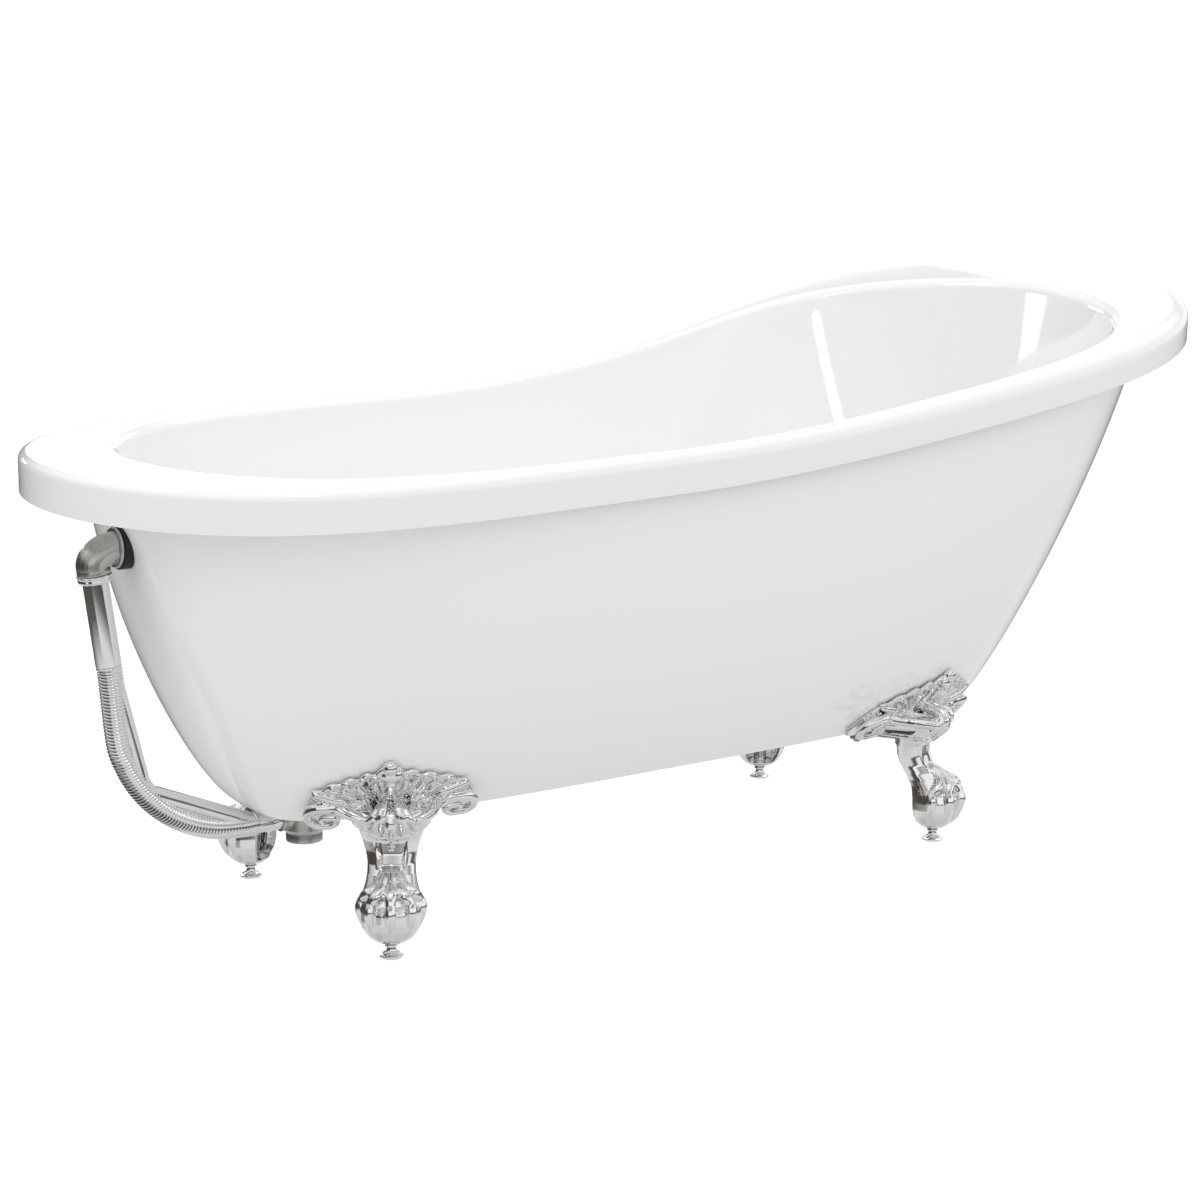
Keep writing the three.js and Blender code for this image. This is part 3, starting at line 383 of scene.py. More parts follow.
def roll_ring(plan, turn):
    inset = 1 - math.cos(turn)
    near, far = inset_plan(plan, 0, 0, 0), inset_plan(plan, 0.020, 0.020, 0.020)
    ring = []
    for angle in angles:
        a, b = plan_point(near, angle), plan_point(far, angle)
        radius = roll_radius(a.x)
        x, y = a.lerp(b, inset * radius / 0.020)
        ring.append(Vector((x, y, rim_height(x) - radius * (1 - math.sin(turn)))))
    return ring


def lip_ring(plan, turn, radius):
    out = radius * (1 - math.sin(turn))
    return rim_ring(inset_plan(plan, -out, -out, -out), radius * (1 - math.cos(turn)))


quarter = [math.pi / 2 * k / ROLL_STEPS for k in range(ROLL_STEPS + 1)]
LIP_RADIUS = 0.012
basin_wall_top = rim_ring(basin_edge_plan, LIP_RADIUS)
basin = drawn_skin(
    "basin",
    [rim_ring(rim_plan, RIM_DROP), rim_ring(rim_plan, RIM_DROP - 0.002)]
    + [rim_ring(rim_plan, 0.034)]
    + [roll_ring(rim_plan, turn) for turn in quarter]
    + [lip_ring(basin_edge_plan, turn, LIP_RADIUS) for turn in quarter]
    + wall_rings(
        basin_wall_top,
        level_ring(basin_corner_plan, basin_floor),
        level_ring(basin_flat_plan, basin_floor),
        36,
    ),
    0.005,
)
basin.data.materials.append(acrylic)
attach(basin, "root")
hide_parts("inner_shell")


def shade(piece, degrees=35):
    bpy.ops.object.select_all(action="DESELECT")
    piece.select_set(True)
    bpy.context.view_layer.objects.active = piece
    bpy.ops.object.shade_smooth_by_angle(angle=math.radians(degrees), keep_sharp_edges=False)


def cut(piece, tool):
    """Takes the tool's shape out of the piece and throws the tool away."""
    bpy.ops.object.select_all(action="DESELECT")
    bpy.context.view_layer.objects.active = piece
    saw = piece.modifiers.new("cut", "BOOLEAN")
    saw.operation = "DIFFERENCE"
    saw.solver = "EXACT"
    saw.object = tool
    bpy.ops.object.modifier_apply(modifier=saw.name)
    bpy.data.objects.remove(tool)


DRAIN_X = -0.467
OVERFLOW_HEIGHT = 0.473


def drain_drill():
    bpy.ops.mesh.primitive_cylinder_add(vertices=48, radius=0.0208, depth=0.2, location=(DRAIN_X, 0, 0.2))
    return bpy.context.object


def overflow_drill():
    bpy.ops.mesh.primitive_cylinder_add(
        vertices=48, radius=0.0156, depth=0.3,
        location=(-0.65, 0, OVERFLOW_HEIGHT), rotation=(0, math.pi / 2, 0),
    )
    return bpy.context.object


basin_surface = BVHTree.FromObject(basin, bpy.context.evaluated_depsgraph_get())
cut(basin, drain_drill())
cut(basin, overflow_drill())
shade(basin)


# ---- Skirt ----
# The outer skin: an acrylic apron tucked up behind the rim's turned-down edge, tapering to a narrow
# bottom, drawn in one piece and bonded to the basin under the deck.
SKIRT_BOTTOM = 0.1464
skirt_seen_top = rim_ring(skirt_top_plan, RIM_DROP)
skirt = drawn_skin(
    "skirt",
    [rim_ring(skirt_top_plan, 0.0075), skirt_seen_top]
    + wall_rings(
        skirt_seen_top,
        level_ring(skirt_corner_plan, SKIRT_BOTTOM),
        level_ring(skirt_flat_plan, SKIRT_BOTTOM),
        48,
    ),
    0.004,
)
skirt.data.materials.append(acrylic)
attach(skirt, "root")
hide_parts("outer_shell")
skirt_surface = BVHTree.FromObject(skirt, bpy.context.evaluated_depsgraph_get())
cut(skirt, drain_drill())
cut(skirt, overflow_drill())
shade(skirt)


# ---- Polished chrome ----
# Castings and pipes are copper and nickel plated, then chromed: a mirror with faint polishing haze.
def chrome_finish():
    material = bpy.data.materials.new("polished_chrome")
    material.use_nodes = True
    nodes, links = material.node_tree.nodes, material.node_tree.links
    shader = nodes["Principled BSDF"]
    shader.inputs["Metallic"].default_value = 1.0
    place = nodes.new("ShaderNodeTexCoord")
    haze = nodes.new("ShaderNodeTexNoise")
    haze.inputs["Scale"].default_value = 35.0
    haze.inputs["Detail"].default_value = 3.0
    gloss = nodes.new("ShaderNodeMapRange")
    gloss.inputs["To Min"].default_value = 0.03
    gloss.inputs["To Max"].default_value = 0.10
    tint = nodes.new("ShaderNodeValToRGB")
    tint.color_ramp.elements[0].color = (0.80, 0.80, 0.795, 1)
    tint.color_ramp.elements[1].color = (0.86, 0.86, 0.86, 1)
    grain = nodes.new("ShaderNodeTexNoise")
    grain.inputs["Scale"].default_value = 260.0
    bump = nodes.new("ShaderNodeBump")
    bump.inputs["Strength"].default_value = 0.05
    bump.inputs["Distance"].default_value = 0.0005
    for texture in (haze, grain):
        links.new(place.outputs["Object"], texture.inputs["Vector"])
    links.new(haze.outputs["Fac"], gloss.inputs["Value"])
    links.new(haze.outputs["Fac"], tint.inputs["Fac"])
    links.new(gloss.outputs["Result"], shader.inputs["Roughness"])
    links.new(tint.outputs["Color"], shader.inputs["Base Color"])
    links.new(grain.outputs["Fac"], bump.inputs["Height"])
    links.new(bump.outputs["Normal"], shader.inputs["Normal"])
    return material


chrome = chrome_finish()


# ---- Claw feet ----
# Four hollow-backed castings: an acanthus leaf that lies against the skirt, scrolled at both ends, with
# a knob above and a tongue below; an S-shaped leg; and a paw that grips a ball.
MM = 0.001
FOOT_PLACES = {
    "drain_near": (-0.450, -0.175, -122),
    "drain_far": (-0.450, 0.175, 122),
    "head_near": (0.388, -0.184, -58),
    "head_far": (0.388, 0.184, 58),
}
# the leg from the ball up: height, how far out its middle is, half its width and half its depth
LEG_STAGES = [
    (17.5, 0, 10, 10), (20, 0, 18, 17), (26, 0, 26.5, 24),
    (36, 0, 33, 29.5), (46, 0, 36, 32), (58, 0, 37, 33),
    (68, -2, 35.5, 31), (77, -6, 32.5, 28), (86, -13, 29.5, 25), (95, -21, 28, 22), (105, -28, 27.8, 21),
    (118, -33, 30, 21), (132, -34, 34, 21.5), (146, -31, 39, 23), (160, -25, 42, 24), (172, -19, 44, 24),
]
LEAF_EDGE = [
    (0, 229), (9, 226), (17, 219), (26, 220), (35, 213), (45, 214), (55, 208),
    (66, 207), (75, 200), (86, 198), (93, 188), (96, 176), (94, 164), (84, 155),
    (70, 152), (56, 157), (44, 152), (30, 145), (14, 140), (0, 138),
]


def stage_ring(stage, sides):
    height, out, wide, deep = stage
    ring = []
    for i in range(sides):
        a = 2 * math.pi * i / sides
        ring.append(Vector((out + deep * math.cos(a), wide * math.sin(a), height)) * MM)
    return ring


def cast_loft(stages, sides):
    """A tube of stacked rings, closed at both ends."""
    bpy.ops.mesh.primitive_circle_add(vertices=sides, radius=1.0)
    loft = bpy.context.object
    bpy.ops.object.mode_set(mode="EDIT")
    mesh = bmesh.from_edit_mesh(loft.data)
    station = mesh.verts.layers.int.new("station")
    for i, vertex in enumerate(mesh.verts):
        vertex[station] = i
        vertex.co = stage_ring(stages[0], sides)[i]
    bpy.ops.mesh.select_all(action="SELECT")
    bpy.ops.mesh.edge_face_add()
    bpy.ops.mesh.select_all(action="SELECT")
    for stage in stages[1:]:
        ring = stage_ring(stage, sides)
        bpy.ops.mesh.extrude_edges_move()
        mesh = bmesh.from_edit_mesh(loft.data)
        station = mesh.verts.layers.int["station"]
        for vertex in mesh.verts:
            if vertex.select:
                vertex.co = ring[vertex[station]]
    bpy.ops.mesh.edge_face_add()
    bpy.ops.mesh.select_all(action="SELECT")
    bpy.ops.mesh.normals_make_consistent(inside=False)
    bpy.ops.object.mode_set(mode="OBJECT")
    return loft


class FootBench:
    """The bench a foot is carved on: +X outwards, +Y sideways, +Z up, under the pad, against the skirt."""

    def __init__(self, place):
        x, y, turn = FOOT_PLACES[place]
        self.stand = Matrix.Translation((x, y, 0)) @ Matrix.Rotation(math.radians(turn), 4, "Z")
        self.back = self.stand.inverted()
        self.leg = None

    def front(self, v, w):
        """The foremost surface at a place, skirt or leg: its point and its outward normal."""
        start = Vector((0.2, v * MM, w * MM))
        inwards = self.stand.to_3x3() @ Vector((-1, 0, 0))
        hit, normal, _, _ = skirt_surface.ray_cast(self.stand @ start, inwards)
        best = (Vector((-0.09, v * MM, w * MM)), Vector((1, 0, 0)))
        if hit:
            best = (self.back @ hit, self.back.to_3x3() @ normal)
        if self.leg:
            hit, normal, _, _ = self.leg.ray_cast(start, Vector((-1, 0, 0)))
            if hit and hit.x > best[0].x:
                best = (hit, normal)
        return best

    def at(self, v, w, proud):
        point, normal = self.front(v, w)
        return point + Vector((proud * MM / max(0.55, normal.x), 0, 0))


def rib(points, radii):
    """A round bar along a smooth line, its thickness changing from point to point."""
    curve = bpy.data.curves.new("rib", "CURVE")
    curve.dimensions = "3D"
    curve.bevel_depth = 1.0
    curve.bevel_resolution = 3
    curve.resolution_u = 5
    curve.use_fill_caps = True
    spline = curve.splines.new("BEZIER")
    spline.bezier_points.add(len(points) - 1)
    for knot, point, radius in zip(spline.bezier_points, points, radii):
        knot.co = point
        knot.radius = radius * MM
        knot.handle_left_type = knot.handle_right_type = "AUTO"
    bar = bpy.data.objects.new("rib", curve)
    bpy.context.scene.collection.objects.link(bar)
    ends = [ball(points[0], radii[0]), ball(points[-1], radii[-1])]
    bpy.ops.object.select_all(action="DESELECT")
    bar.select_set(True)
    bpy.context.view_layer.objects.active = bar
    bpy.ops.object.convert(target="MESH")
    return [bpy.context.object, *ends]


def ball(centre, radius, squash=(1, 1, 1)):
    bpy.ops.mesh.primitive_uv_sphere_add(
        segments=16, ring_count=10, radius=radius * MM, location=centre, scale=squash
    )
    return bpy.context.object


def inside_leaf(v, w):
    edge = LEAF_EDGE + [(-a, b) for a, b in reversed(LEAF_EDGE[1:-1])]
    odd = False
    for (v0, w0), (v1, w1) in zip(edge, edge[1:] + edge[:1]):
        if (w0 > w) != (w1 > w) and v < v0 + (v1 - v0) * (w - w0) / (w1 - w0):
            odd = not odd
    return odd


def leaf_plate(bench):
    bpy.ops.mesh.primitive_grid_add(x_subdivisions=100, y_subdivisions=50, size=1.0)
    plate = bpy.context.object
    bpy.ops.object.mode_set(mode="EDIT")
    bpy.ops.mesh.select_all(action="DESELECT")
    mesh = bmesh.from_edit_mesh(plate.data)
    for vertex in mesh.verts:
        v, w = vertex.co.x * 200, 186 + vertex.co.y * 100
        vertex.co = bench.at(v, w, 0.6)
        vertex.select = not inside_leaf(v, w)
    mesh.select_flush(True)
    bpy.ops.mesh.delete(type="VERT")
    bpy.ops.object.mode_set(mode="OBJECT")
    thicken = plate.modifiers.new("wall", "SOLIDIFY")
    thicken.thickness = 5 * MM
    thicken.offset = 1.0
    bpy.ops.object.modifier_apply(modifier=thicken.name)
    return plate


FINGERS = [
    [(11, 176, 5, 3.0), (13, 188, 7, 4.2), (16, 200, 8, 4.4), (17, 208, 8, 3.0)],
    [(15, 174, 5, 3.0), (22, 186, 7, 4.4), (31, 197, 8, 4.6), (36, 204, 8, 3.0)],
    [(19, 171, 5, 3.0), (31, 182, 7, 4.6), (44, 192, 8, 4.8), (53, 199, 8, 3.2)],
    [(22, 167, 5, 3.2), (40, 177, 8, 5.4), (62, 188, 9, 6.2), (84, 195, 7, 4.0)],
]
SCROLL = [
    (20, 160, 7, 4.5), (38, 167, 10, 6.5), (58, 174, 12, 7.5), (76, 179, 13, 7.5), (90, 175, 13, 7.0),
    (94, 165, 13, 6.2), (88, 156, 14, 5.6), (76, 153, 15, 5.2), (64, 156, 16, 4.8), (62, 162, 16, 4.2),
    (70, 166, 16, 3.8), (79, 163, 17, 3.4), (77, 159, 18, 3.0),
]
TONGUE = [
    [
        (0, 208, 8, 7.0), (0, 196, 9, 6.0), (0, 180, 10, 7.0),
        (0, 162, 10, 7.5), (0, 147, 8, 6.0), (0, 139, 6, 3.5),
    ],
    [(5, 188, 7, 4.0), (10, 172, 9, 6.0), (13, 158, 8, 6.0), (11, 146, 6, 3.5)],
    [(9, 184, 5, 3.5), (19, 170, 8, 5.0), (26, 158, 6, 5.0), (27, 150, 4, 3.0)],
]


def laid(bench, line, side):
    return [bench.at(side * v, w, proud) for v, w, proud, _ in line], [r for *_, r in line]


def toe(azimuth, spread):
    """One toe over the ball: two knuckles, a pad and a claw that runs down under the ball."""
    path = [
        (103, 3, 5.5), (96, 13, 8.0), (88, 22, 6.6), (80, 30, 8.6), (71, 35.5, 6.8),
        (62, 38, 8.2), (53, 38, 6.4), (44, 36, 4.6), (34, 31.5, 3.2), (25, 23, 2.0),
    ]
    a = math.radians(azimuth)
    points, radii = [], []
    for w, reach, radius in path:
        lean = min(1.0, (103 - w) / 30) * spread
        out = reach - 6 + (1 - math.cos(a)) * -4
        root = Vector((-14, 0, 0)) * max(0.0, (w - 80) / 23)
        sideways = 1.06 * (out + 4) * math.sin(a * lean) + 7 * math.sin(a) * (1 - lean)
        around = Vector(((out + 4) * math.cos(a * lean), sideways, w))
        points.append((around + root) * MM)
        radii.append(radius * 0.9)
    return rib(points, radii)


def carve_foot(place):
    bench = FootBench(place)
    leg = cast_loft(LEG_STAGES, 40)
    bench.leg = BVHTree.FromObject(leg, bpy.context.evaluated_depsgraph_get())
    hollow_stages = [(h, out - 7, wide - 7, deep) for h, out, wide, deep in LEG_STAGES if 24 < h < 140]
    cut(leg, cast_loft(hollow_stages, 24))
    pieces = [leg, leaf_plate(bench)]
    edge = [(v, w, 5, 2.6 if i % 2 else 3.4) for i, (v, w) in enumerate(LEAF_EDGE[1:10])]
    foot_lip = [(v, w, 3, 3.0) for v, w in LEAF_EDGE[15:]]
    for side in (-1, 1):
        for line in FINGERS + [SCROLL, edge, foot_lip] + TONGUE[1:]:
            pieces += rib(*laid(bench, line, side))
        for v, w in ((17, 216), (31, 214), (49, 210), (65, 204)):
            pieces.append(ball(bench.at(side * v, w, 8), 3.2))
        for azimuth in (40, 80):
            pieces += toe(side * azimuth, 1.0)
    pieces += rib(*laid(bench, TONGUE[0], 1)) + toe(0, 1.0)
    pieces.append(ball(bench.at(0, 220, 7), 14, (0.6, 1.0, 0.72)))
    pieces.append(ball(bench.at(0, 229, 6), 8.5))
    for drop, radius in ((134, 3.4), (129, 2.6), (125, 1.8)):
        pieces.append(ball(bench.at(0, drop, 0.5), radius))
    for side in (-1, 1):
        flute = [(side * v, w, 0, 2.6) for v, w in ((22, 146), (19, 130), (16, 114), (15, 104))]
        pieces += rib(*laid(bench, flute, 1))
    bpy.ops.mesh.primitive_cylinder_add(vertices=24, radius=9 * MM, depth=52 * MM, location=(0, 0, 44 * MM))
    pieces.append(bpy.context.object)
    bpy.ops.mesh.primitive_cube_add(
        size=1, location=(-85 * MM, 0, 142.1 * MM), scale=(86 * MM, 44 * MM, 8 * MM)
    )
    pieces.append(bpy.context.object)
    bpy.ops.object.select_all(action="DESELECT")
    for piece in pieces:
        piece.select_set(True)
    bpy.context.view_layer.objects.active = leg
    bpy.ops.object.transform_apply(location=True, rotation=True, scale=True)
    bpy.ops.object.join()
    foot = bpy.context.object
    foot.name = foot.data.name = f"claw_foot_casting_{place}"
    foot.data.remesh_voxel_size = 1.25 * MM
    foot.data.remesh_voxel_adaptivity = 0.0
    bpy.ops.object.voxel_remesh()
    soften = foot.modifiers.new("soften", "SMOOTH")
    soften.factor = 0.5
    soften.iterations = 3
    bpy.ops.object.modifier_apply(modifier=soften.name)
    bpy.ops.mesh.primitive_cylinder_add(vertices=32, radius=4.4 * MM, depth=80 * MM, location=(0, 0, 40 * MM))
    cut(foot, bpy.context.object)
    bpy.ops.mesh.primitive_cylinder_add(
        vertices=32, radius=5.5 * MM, depth=40 * MM, location=(-110 * MM, 0, 140 * MM)
    )
    cut(foot, bpy.context.object)
    foot.data.transform(bench.stand)
    return foot


def finish_foot(foot, place):
    foot.data.materials.clear()
    foot.data.materials.append(chrome)
    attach(foot, "root")
    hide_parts(f"claw_foot_{place}")
    shade(foot, 60)


for end in ("drain", "head"):
    near = carve_foot(f"{end}_near")
    far = near.copy()
    far.data = near.data.copy()
    far.name = far.data.name = f"claw_foot_casting_{end}_far"
    bpy.context.scene.collection.objects.link(far)
    far.data.transform(Matrix.Scale(-1, 4, (0, 1, 0)))
    far.data.flip_normals()
    finish_foot(near, f"{end}_near")
    finish_foot(far, f"{end}_far")


# ---- Levelling pads ----
# Each foot stands on a flared round pad turned in one with its screw. The screw runs up into the
# casting, so the pad moves up and down to take up an uneven floor.
SPIN_SIDES = 48


def eased(points, radius, steps=3):
    """Rounds the corners of an open profile."""
    line = [points[0]]
    for before, corner, after in zip(points, points[1:], points[2:]):
        c, b, a = Vector(corner), Vector(before), Vector(after)
        start = c + (b - c).normalized() * min(radius, (b - c).length / 2.1)
        stop = c + (a - c).normalized() * min(radius, (a - c).length / 2.1)
        for k in range(steps + 1):
            t = k / steps
            line.append(tuple(start * (1 - t) ** 2 + c * (2 * t * (1 - t)) + stop * t * t))
    return line + [points[-1]]


def spun(name, profile, stand=Matrix.Identity(4), sides=SPIN_SIDES):
    """A turning: a point is drawn out along the profile of radius and height, then spun round the axis."""
    bpy.ops.object.select_all(action="DESELECT")
    bpy.ops.mesh.primitive_plane_add(size=MM)
    piece = bpy.context.object
    piece.name = piece.data.name = name
    bpy.ops.object.mode_set(mode="EDIT")
    bpy.ops.mesh.merge(type="CENTER")
    for k, (radius, height) in enumerate(profile):
        if k:
            bpy.ops.mesh.extrude_region_move()
        mesh = bmesh.from_edit_mesh(piece.data)
        for vertex in mesh.verts:
            if vertex.select or len(mesh.verts) == 1:
                vertex.co = Vector((radius, 0, height)) * MM
                vertex.select = True
        bmesh.update_edit_mesh(piece.data)
    bpy.ops.mesh.select_all(action="SELECT")
    bpy.ops.mesh.spin(steps=sides, angle=2 * math.pi, center=(0, 0, 0), axis=(0, 0, 1))
    bpy.ops.mesh.select_all(action="SELECT")
    bpy.ops.mesh.remove_doubles(threshold=2e-6)
    bpy.ops.mesh.normals_make_consistent(inside=False)
    bpy.ops.object.mode_set(mode="OBJECT")
    piece.data.transform(stand)
    return piece


def settled(piece, name, stand=Matrix.Identity(4)):
    """Moves a primitive's place into its mesh."""
    bpy.ops.object.select_all(action="DESELECT")
    piece.select_set(True)
    bpy.context.view_layer.objects.active = piece
    bpy.ops.object.transform_apply(location=True, rotation=True, scale=True)
    piece.name = piece.data.name = name
    piece.data.transform(stand)
    return piece


def fitted(piece, finish, body, slot, *nodes, degrees=35):
    """Gives a piece its finish, its body and the plain solid that it stands for."""
    piece.data.materials.clear()
    piece.data.materials.append(finish)
    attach(piece, body)
    if nodes:
        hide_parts(*nodes)
    shade(piece, degrees)


def foot_stand(place):
    x, y, turn = FOOT_PLACES[place]
    return Matrix.Translation((x, y, 0)) @ Matrix.Rotation(math.radians(turn), 4, "Z")


PAD_FLARE = [(0, 0), (13.2, 0), (13.5, 0.5), (13.5, 2.6)]
for k in range(9):
    swing = math.pi / 2 * k / 8
    PAD_FLARE.append((5 + 8.5 * (1 - math.sin(swing)), 3 + 8 * (1 - math.cos(swing))))
for place in FOOT_PLACES:
    screw = [(5, 11), (4, 11.4)]
    for turn in range(25):
        height = 12 + turn * 1.25
        screw += [(4.0, height), (3.5, height + 0.6)]
    outline = PAD_FLARE + screw + [(4, 44), (4, 68), (0, 68)]
    pad = spun(f"levelling_pad_{place}", outline, foot_stand(place), 40)
    fitted(pad, chrome, f"leveller_{place}_body", "chrome", f"leveller_{place}")


# ---- Lock nuts ----
# A thin hexagon nut under each foot locks the levelling screw once the tub stands level.
def hexagon_nut(name, flats, bore, low, high, stand):
    bpy.ops.mesh.primitive_cylinder_add(
        vertices=6, radius=flats / math.sqrt(3) * MM, depth=(high - low) * MM,
        location=(0, 0, (low + high) / 2 * MM),
    )
    nut = settled(bpy.context.object, name)
    round_off = nut.modifiers.new("edges", "BEVEL")
    round_off.width = 0.5 * MM
    round_off.segments = 3
    bpy.ops.object.modifier_apply(modifier=round_off.name)
    if bore:
        bpy.ops.mesh.primitive_cylinder_add(vertices=32, radius=bore * MM, depth=0.3, location=(0, 0, 0.1))
        cut(nut, bpy.context.object)
    nut.data.transform(stand)
    return nut


for place in FOOT_PLACES:
    nut = hexagon_nut(f"lock_nut_hexagon_{place}", 13, 4.3, 12.3, 16.8, foot_stand(place))
    fitted(nut, chrome, "root", "chrome", f"lock_nut_{place}")


# ---- Foot bolts ----
# A zinc-plated bolt holds the tongue of each foot to the base board: its head and a spreader plate sit
# in the board above, and a washer and nut pull up against the tongue from below.
def zinc_finish():
    material = bpy.data.materials.new("zinc_plate")
    material.use_nodes = True
    nodes, links = material.node_tree.nodes, material.node_tree.links
    shader = nodes["Principled BSDF"]
    shader.inputs["Metallic"].default_value = 1.0
    place = nodes.new("ShaderNodeTexCoord")
    spangle = nodes.new("ShaderNodeTexVoronoi")
    spangle.inputs["Scale"].default_value = 320.0
    tint = nodes.new("ShaderNodeValToRGB")
    tint.color_ramp.elements[0].color = (0.50, 0.51, 0.53, 1)
    tint.color_ramp.elements[1].color = (0.66, 0.67, 0.68, 1)
    dull = nodes.new("ShaderNodeMapRange")
    dull.inputs["To Min"].default_value = 0.30
    dull.inputs["To Max"].default_value = 0.48
    bump = nodes.new("ShaderNodeBump")
    bump.inputs["Strength"].default_value = 0.15
    bump.inputs["Distance"].default_value = 0.0003
    links.new(place.outputs["Object"], spangle.inputs["Vector"])
    links.new(spangle.outputs["Distance"], tint.inputs["Fac"])
    links.new(spangle.outputs["Distance"], dull.inputs["Value"])
    links.new(spangle.outputs["Distance"], bump.inputs["Height"])
    links.new(tint.outputs["Color"], shader.inputs["Base Color"])
    links.new(dull.outputs["Result"], shader.inputs["Roughness"])
    links.new(bump.outputs["Normal"], shader.inputs["Normal"])
    return material


zinc = zinc_finish()
HEAD_SEAT, WASHER_TOP, NUT_TOP = 154.0, 137.8, 135.5
for place in FOOT_PLACES:
    stand = foot_stand(place) @ Matrix.Translation((-110 * MM, 0, 0))
    head = hexagon_nut(f"bolt_head_{place}", 16, 0, HEAD_SEAT, HEAD_SEAT + 6.4, stand)
    fitted(head, zinc, "root", "steel", f"foot_bolt_{place}")
    shank = [(0, 123.5), (3.6, 123.5), (4.6, 124.5)]
    for turn in range(9):
        shank += [(5.0, 125.4 + turn * 1.25), (4.4, 126.0 + turn * 1.25)]
    shank = spun(f"bolt_shank_{place}", shank + [(5, 137), (5, HEAD_SEAT), (0, HEAD_SEAT)], stand, 32)
    fitted(shank, zinc, "root", "steel")
    washer = spun(
        f"washer_{place}",
        [
            (5.3, 136.2), (5.3, WASHER_TOP), (9.8, WASHER_TOP), (10, WASHER_TOP - 0.3),
            (10, 136.0), (9.8, 135.8), (5.3, 135.8), (5.3, 136.2),
        ],
        stand, 40,
    )
    fitted(washer, zinc, "root", "steel", f"foot_washer_{place}")
    nut = hexagon_nut(f"tongue_nut_{place}", 17, 5.3, NUT_TOP - 8, NUT_TOP, stand)
    fitted(nut, zinc, "root", "steel", f"foot_nut_{place}")
    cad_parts[f"spreader_plate_{place}"].data.materials.clear()
    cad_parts[f"spreader_plate_{place}"].data.materials.append(zinc)


# ---- Base board ----
# A plywood board is bedded between the two skins and takes the bolts of the feet.
def plywood_finish():
    material = bpy.data.materials.new("plywood")
    material.use_nodes = True
    nodes, links = material.node_tree.nodes, material.node_tree.links
    shader = nodes["Principled BSDF"]
    shader.inputs["Roughness"].default_value = 0.75
    place = nodes.new("ShaderNodeTexCoord")
    stretch = nodes.new("ShaderNodeMapping")
    stretch.inputs["Scale"].default_value = (2.0, 22.0, 500.0)
    grain = nodes.new("ShaderNodeTexNoise")
    grain.inputs["Scale"].default_value = 3.0
    grain.inputs["Detail"].default_value = 6.0
    tint = nodes.new("ShaderNodeValToRGB")
    tint.color_ramp.elements[0].color = (0.36, 0.22, 0.11, 1)
    tint.color_ramp.elements[1].color = (0.62, 0.44, 0.26, 1)
    bump = nodes.new("ShaderNodeBump")
    bump.inputs["Strength"].default_value = 0.3
    bump.inputs["Distance"].default_value = 0.0005
    links.new(place.outputs["Object"], stretch.inputs["Vector"])
    links.new(stretch.outputs["Vector"], grain.inputs["Vector"])
    links.new(grain.outputs["Fac"], tint.inputs["Fac"])
    links.new(tint.outputs["Color"], shader.inputs["Base Color"])
    links.new(grain.outputs["Fac"], bump.inputs["Height"])
    links.new(bump.outputs["Normal"], shader.inputs["Normal"])
    return material


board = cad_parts["base_board"]
board.data.materials.clear()
board.data.materials.append(plywood_finish())


# ---- Overflow elbow ----
# A brushed nickel casting: a tail through both skins, a stepped collar against the gasket, and a tight
# bend down to the overflow pipe.
def nickel_finish():
    material = bpy.data.materials.new("brushed_nickel")
    material.use_nodes = True
    nodes, links = material.node_tree.nodes, material.node_tree.links
    shader = nodes["Principled BSDF"]
    shader.inputs["Metallic"].default_value = 1.0
    place = nodes.new("ShaderNodeTexCoord")
    brush = nodes.new("ShaderNodeMapping")
    brush.inputs["Scale"].default_value = (900.0, 900.0, 60.0)
    streak = nodes.new("ShaderNodeTexNoise")
    streak.inputs["Scale"].default_value = 1.0
    streak.inputs["Detail"].default_value = 4.0
    tint = nodes.new("ShaderNodeValToRGB")
    tint.color_ramp.elements[0].color = (0.46, 0.455, 0.44, 1)
    tint.color_ramp.elements[1].color = (0.60, 0.59, 0.57, 1)
    dull = nodes.new("ShaderNodeMapRange")
    dull.inputs["To Min"].default_value = 0.22
    dull.inputs["To Max"].default_value = 0.36
    bump = nodes.new("ShaderNodeBump")
    bump.inputs["Strength"].default_value = 0.12
    bump.inputs["Distance"].default_value = 0.0003
    links.new(place.outputs["Object"], brush.inputs["Vector"])
    links.new(brush.outputs["Vector"], streak.inputs["Vector"])
    links.new(streak.outputs["Fac"], tint.inputs["Fac"])
    links.new(streak.outputs["Fac"], dull.inputs["Value"])
    links.new(streak.outputs["Fac"], bump.inputs["Height"])
    links.new(tint.outputs["Color"], shader.inputs["Base Color"])
    links.new(dull.outputs["Result"], shader.inputs["Roughness"])
    links.new(bump.outputs["Normal"], shader.inputs["Normal"])
    return material


nickel = nickel_finish()
ELBOW_FACE, ROSE_FACE = -697.0, -632.7
PIPE_TOP, PIPE_BOTTOM = Vector((-724.0, 0, 446.0)), Vector((-710.0, 0, 341.0))
pipe_down = (PIPE_BOTTOM - PIPE_TOP).normalized()


def along_x(x):
    """Stands a turning on its side: its axis runs along the middle of the overflow, towards the basin."""
    return Matrix.Translation((x * MM, 0, OVERFLOW_HEIGHT)) @ Matrix.Rotation(math.pi / 2, 4, "Y")


def down_pipe(point):
    lean = Vector((0, 0, 1)).rotation_difference(pipe_down)
    return Matrix.Translation(point * MM) @ lean.to_matrix().to_4x4()


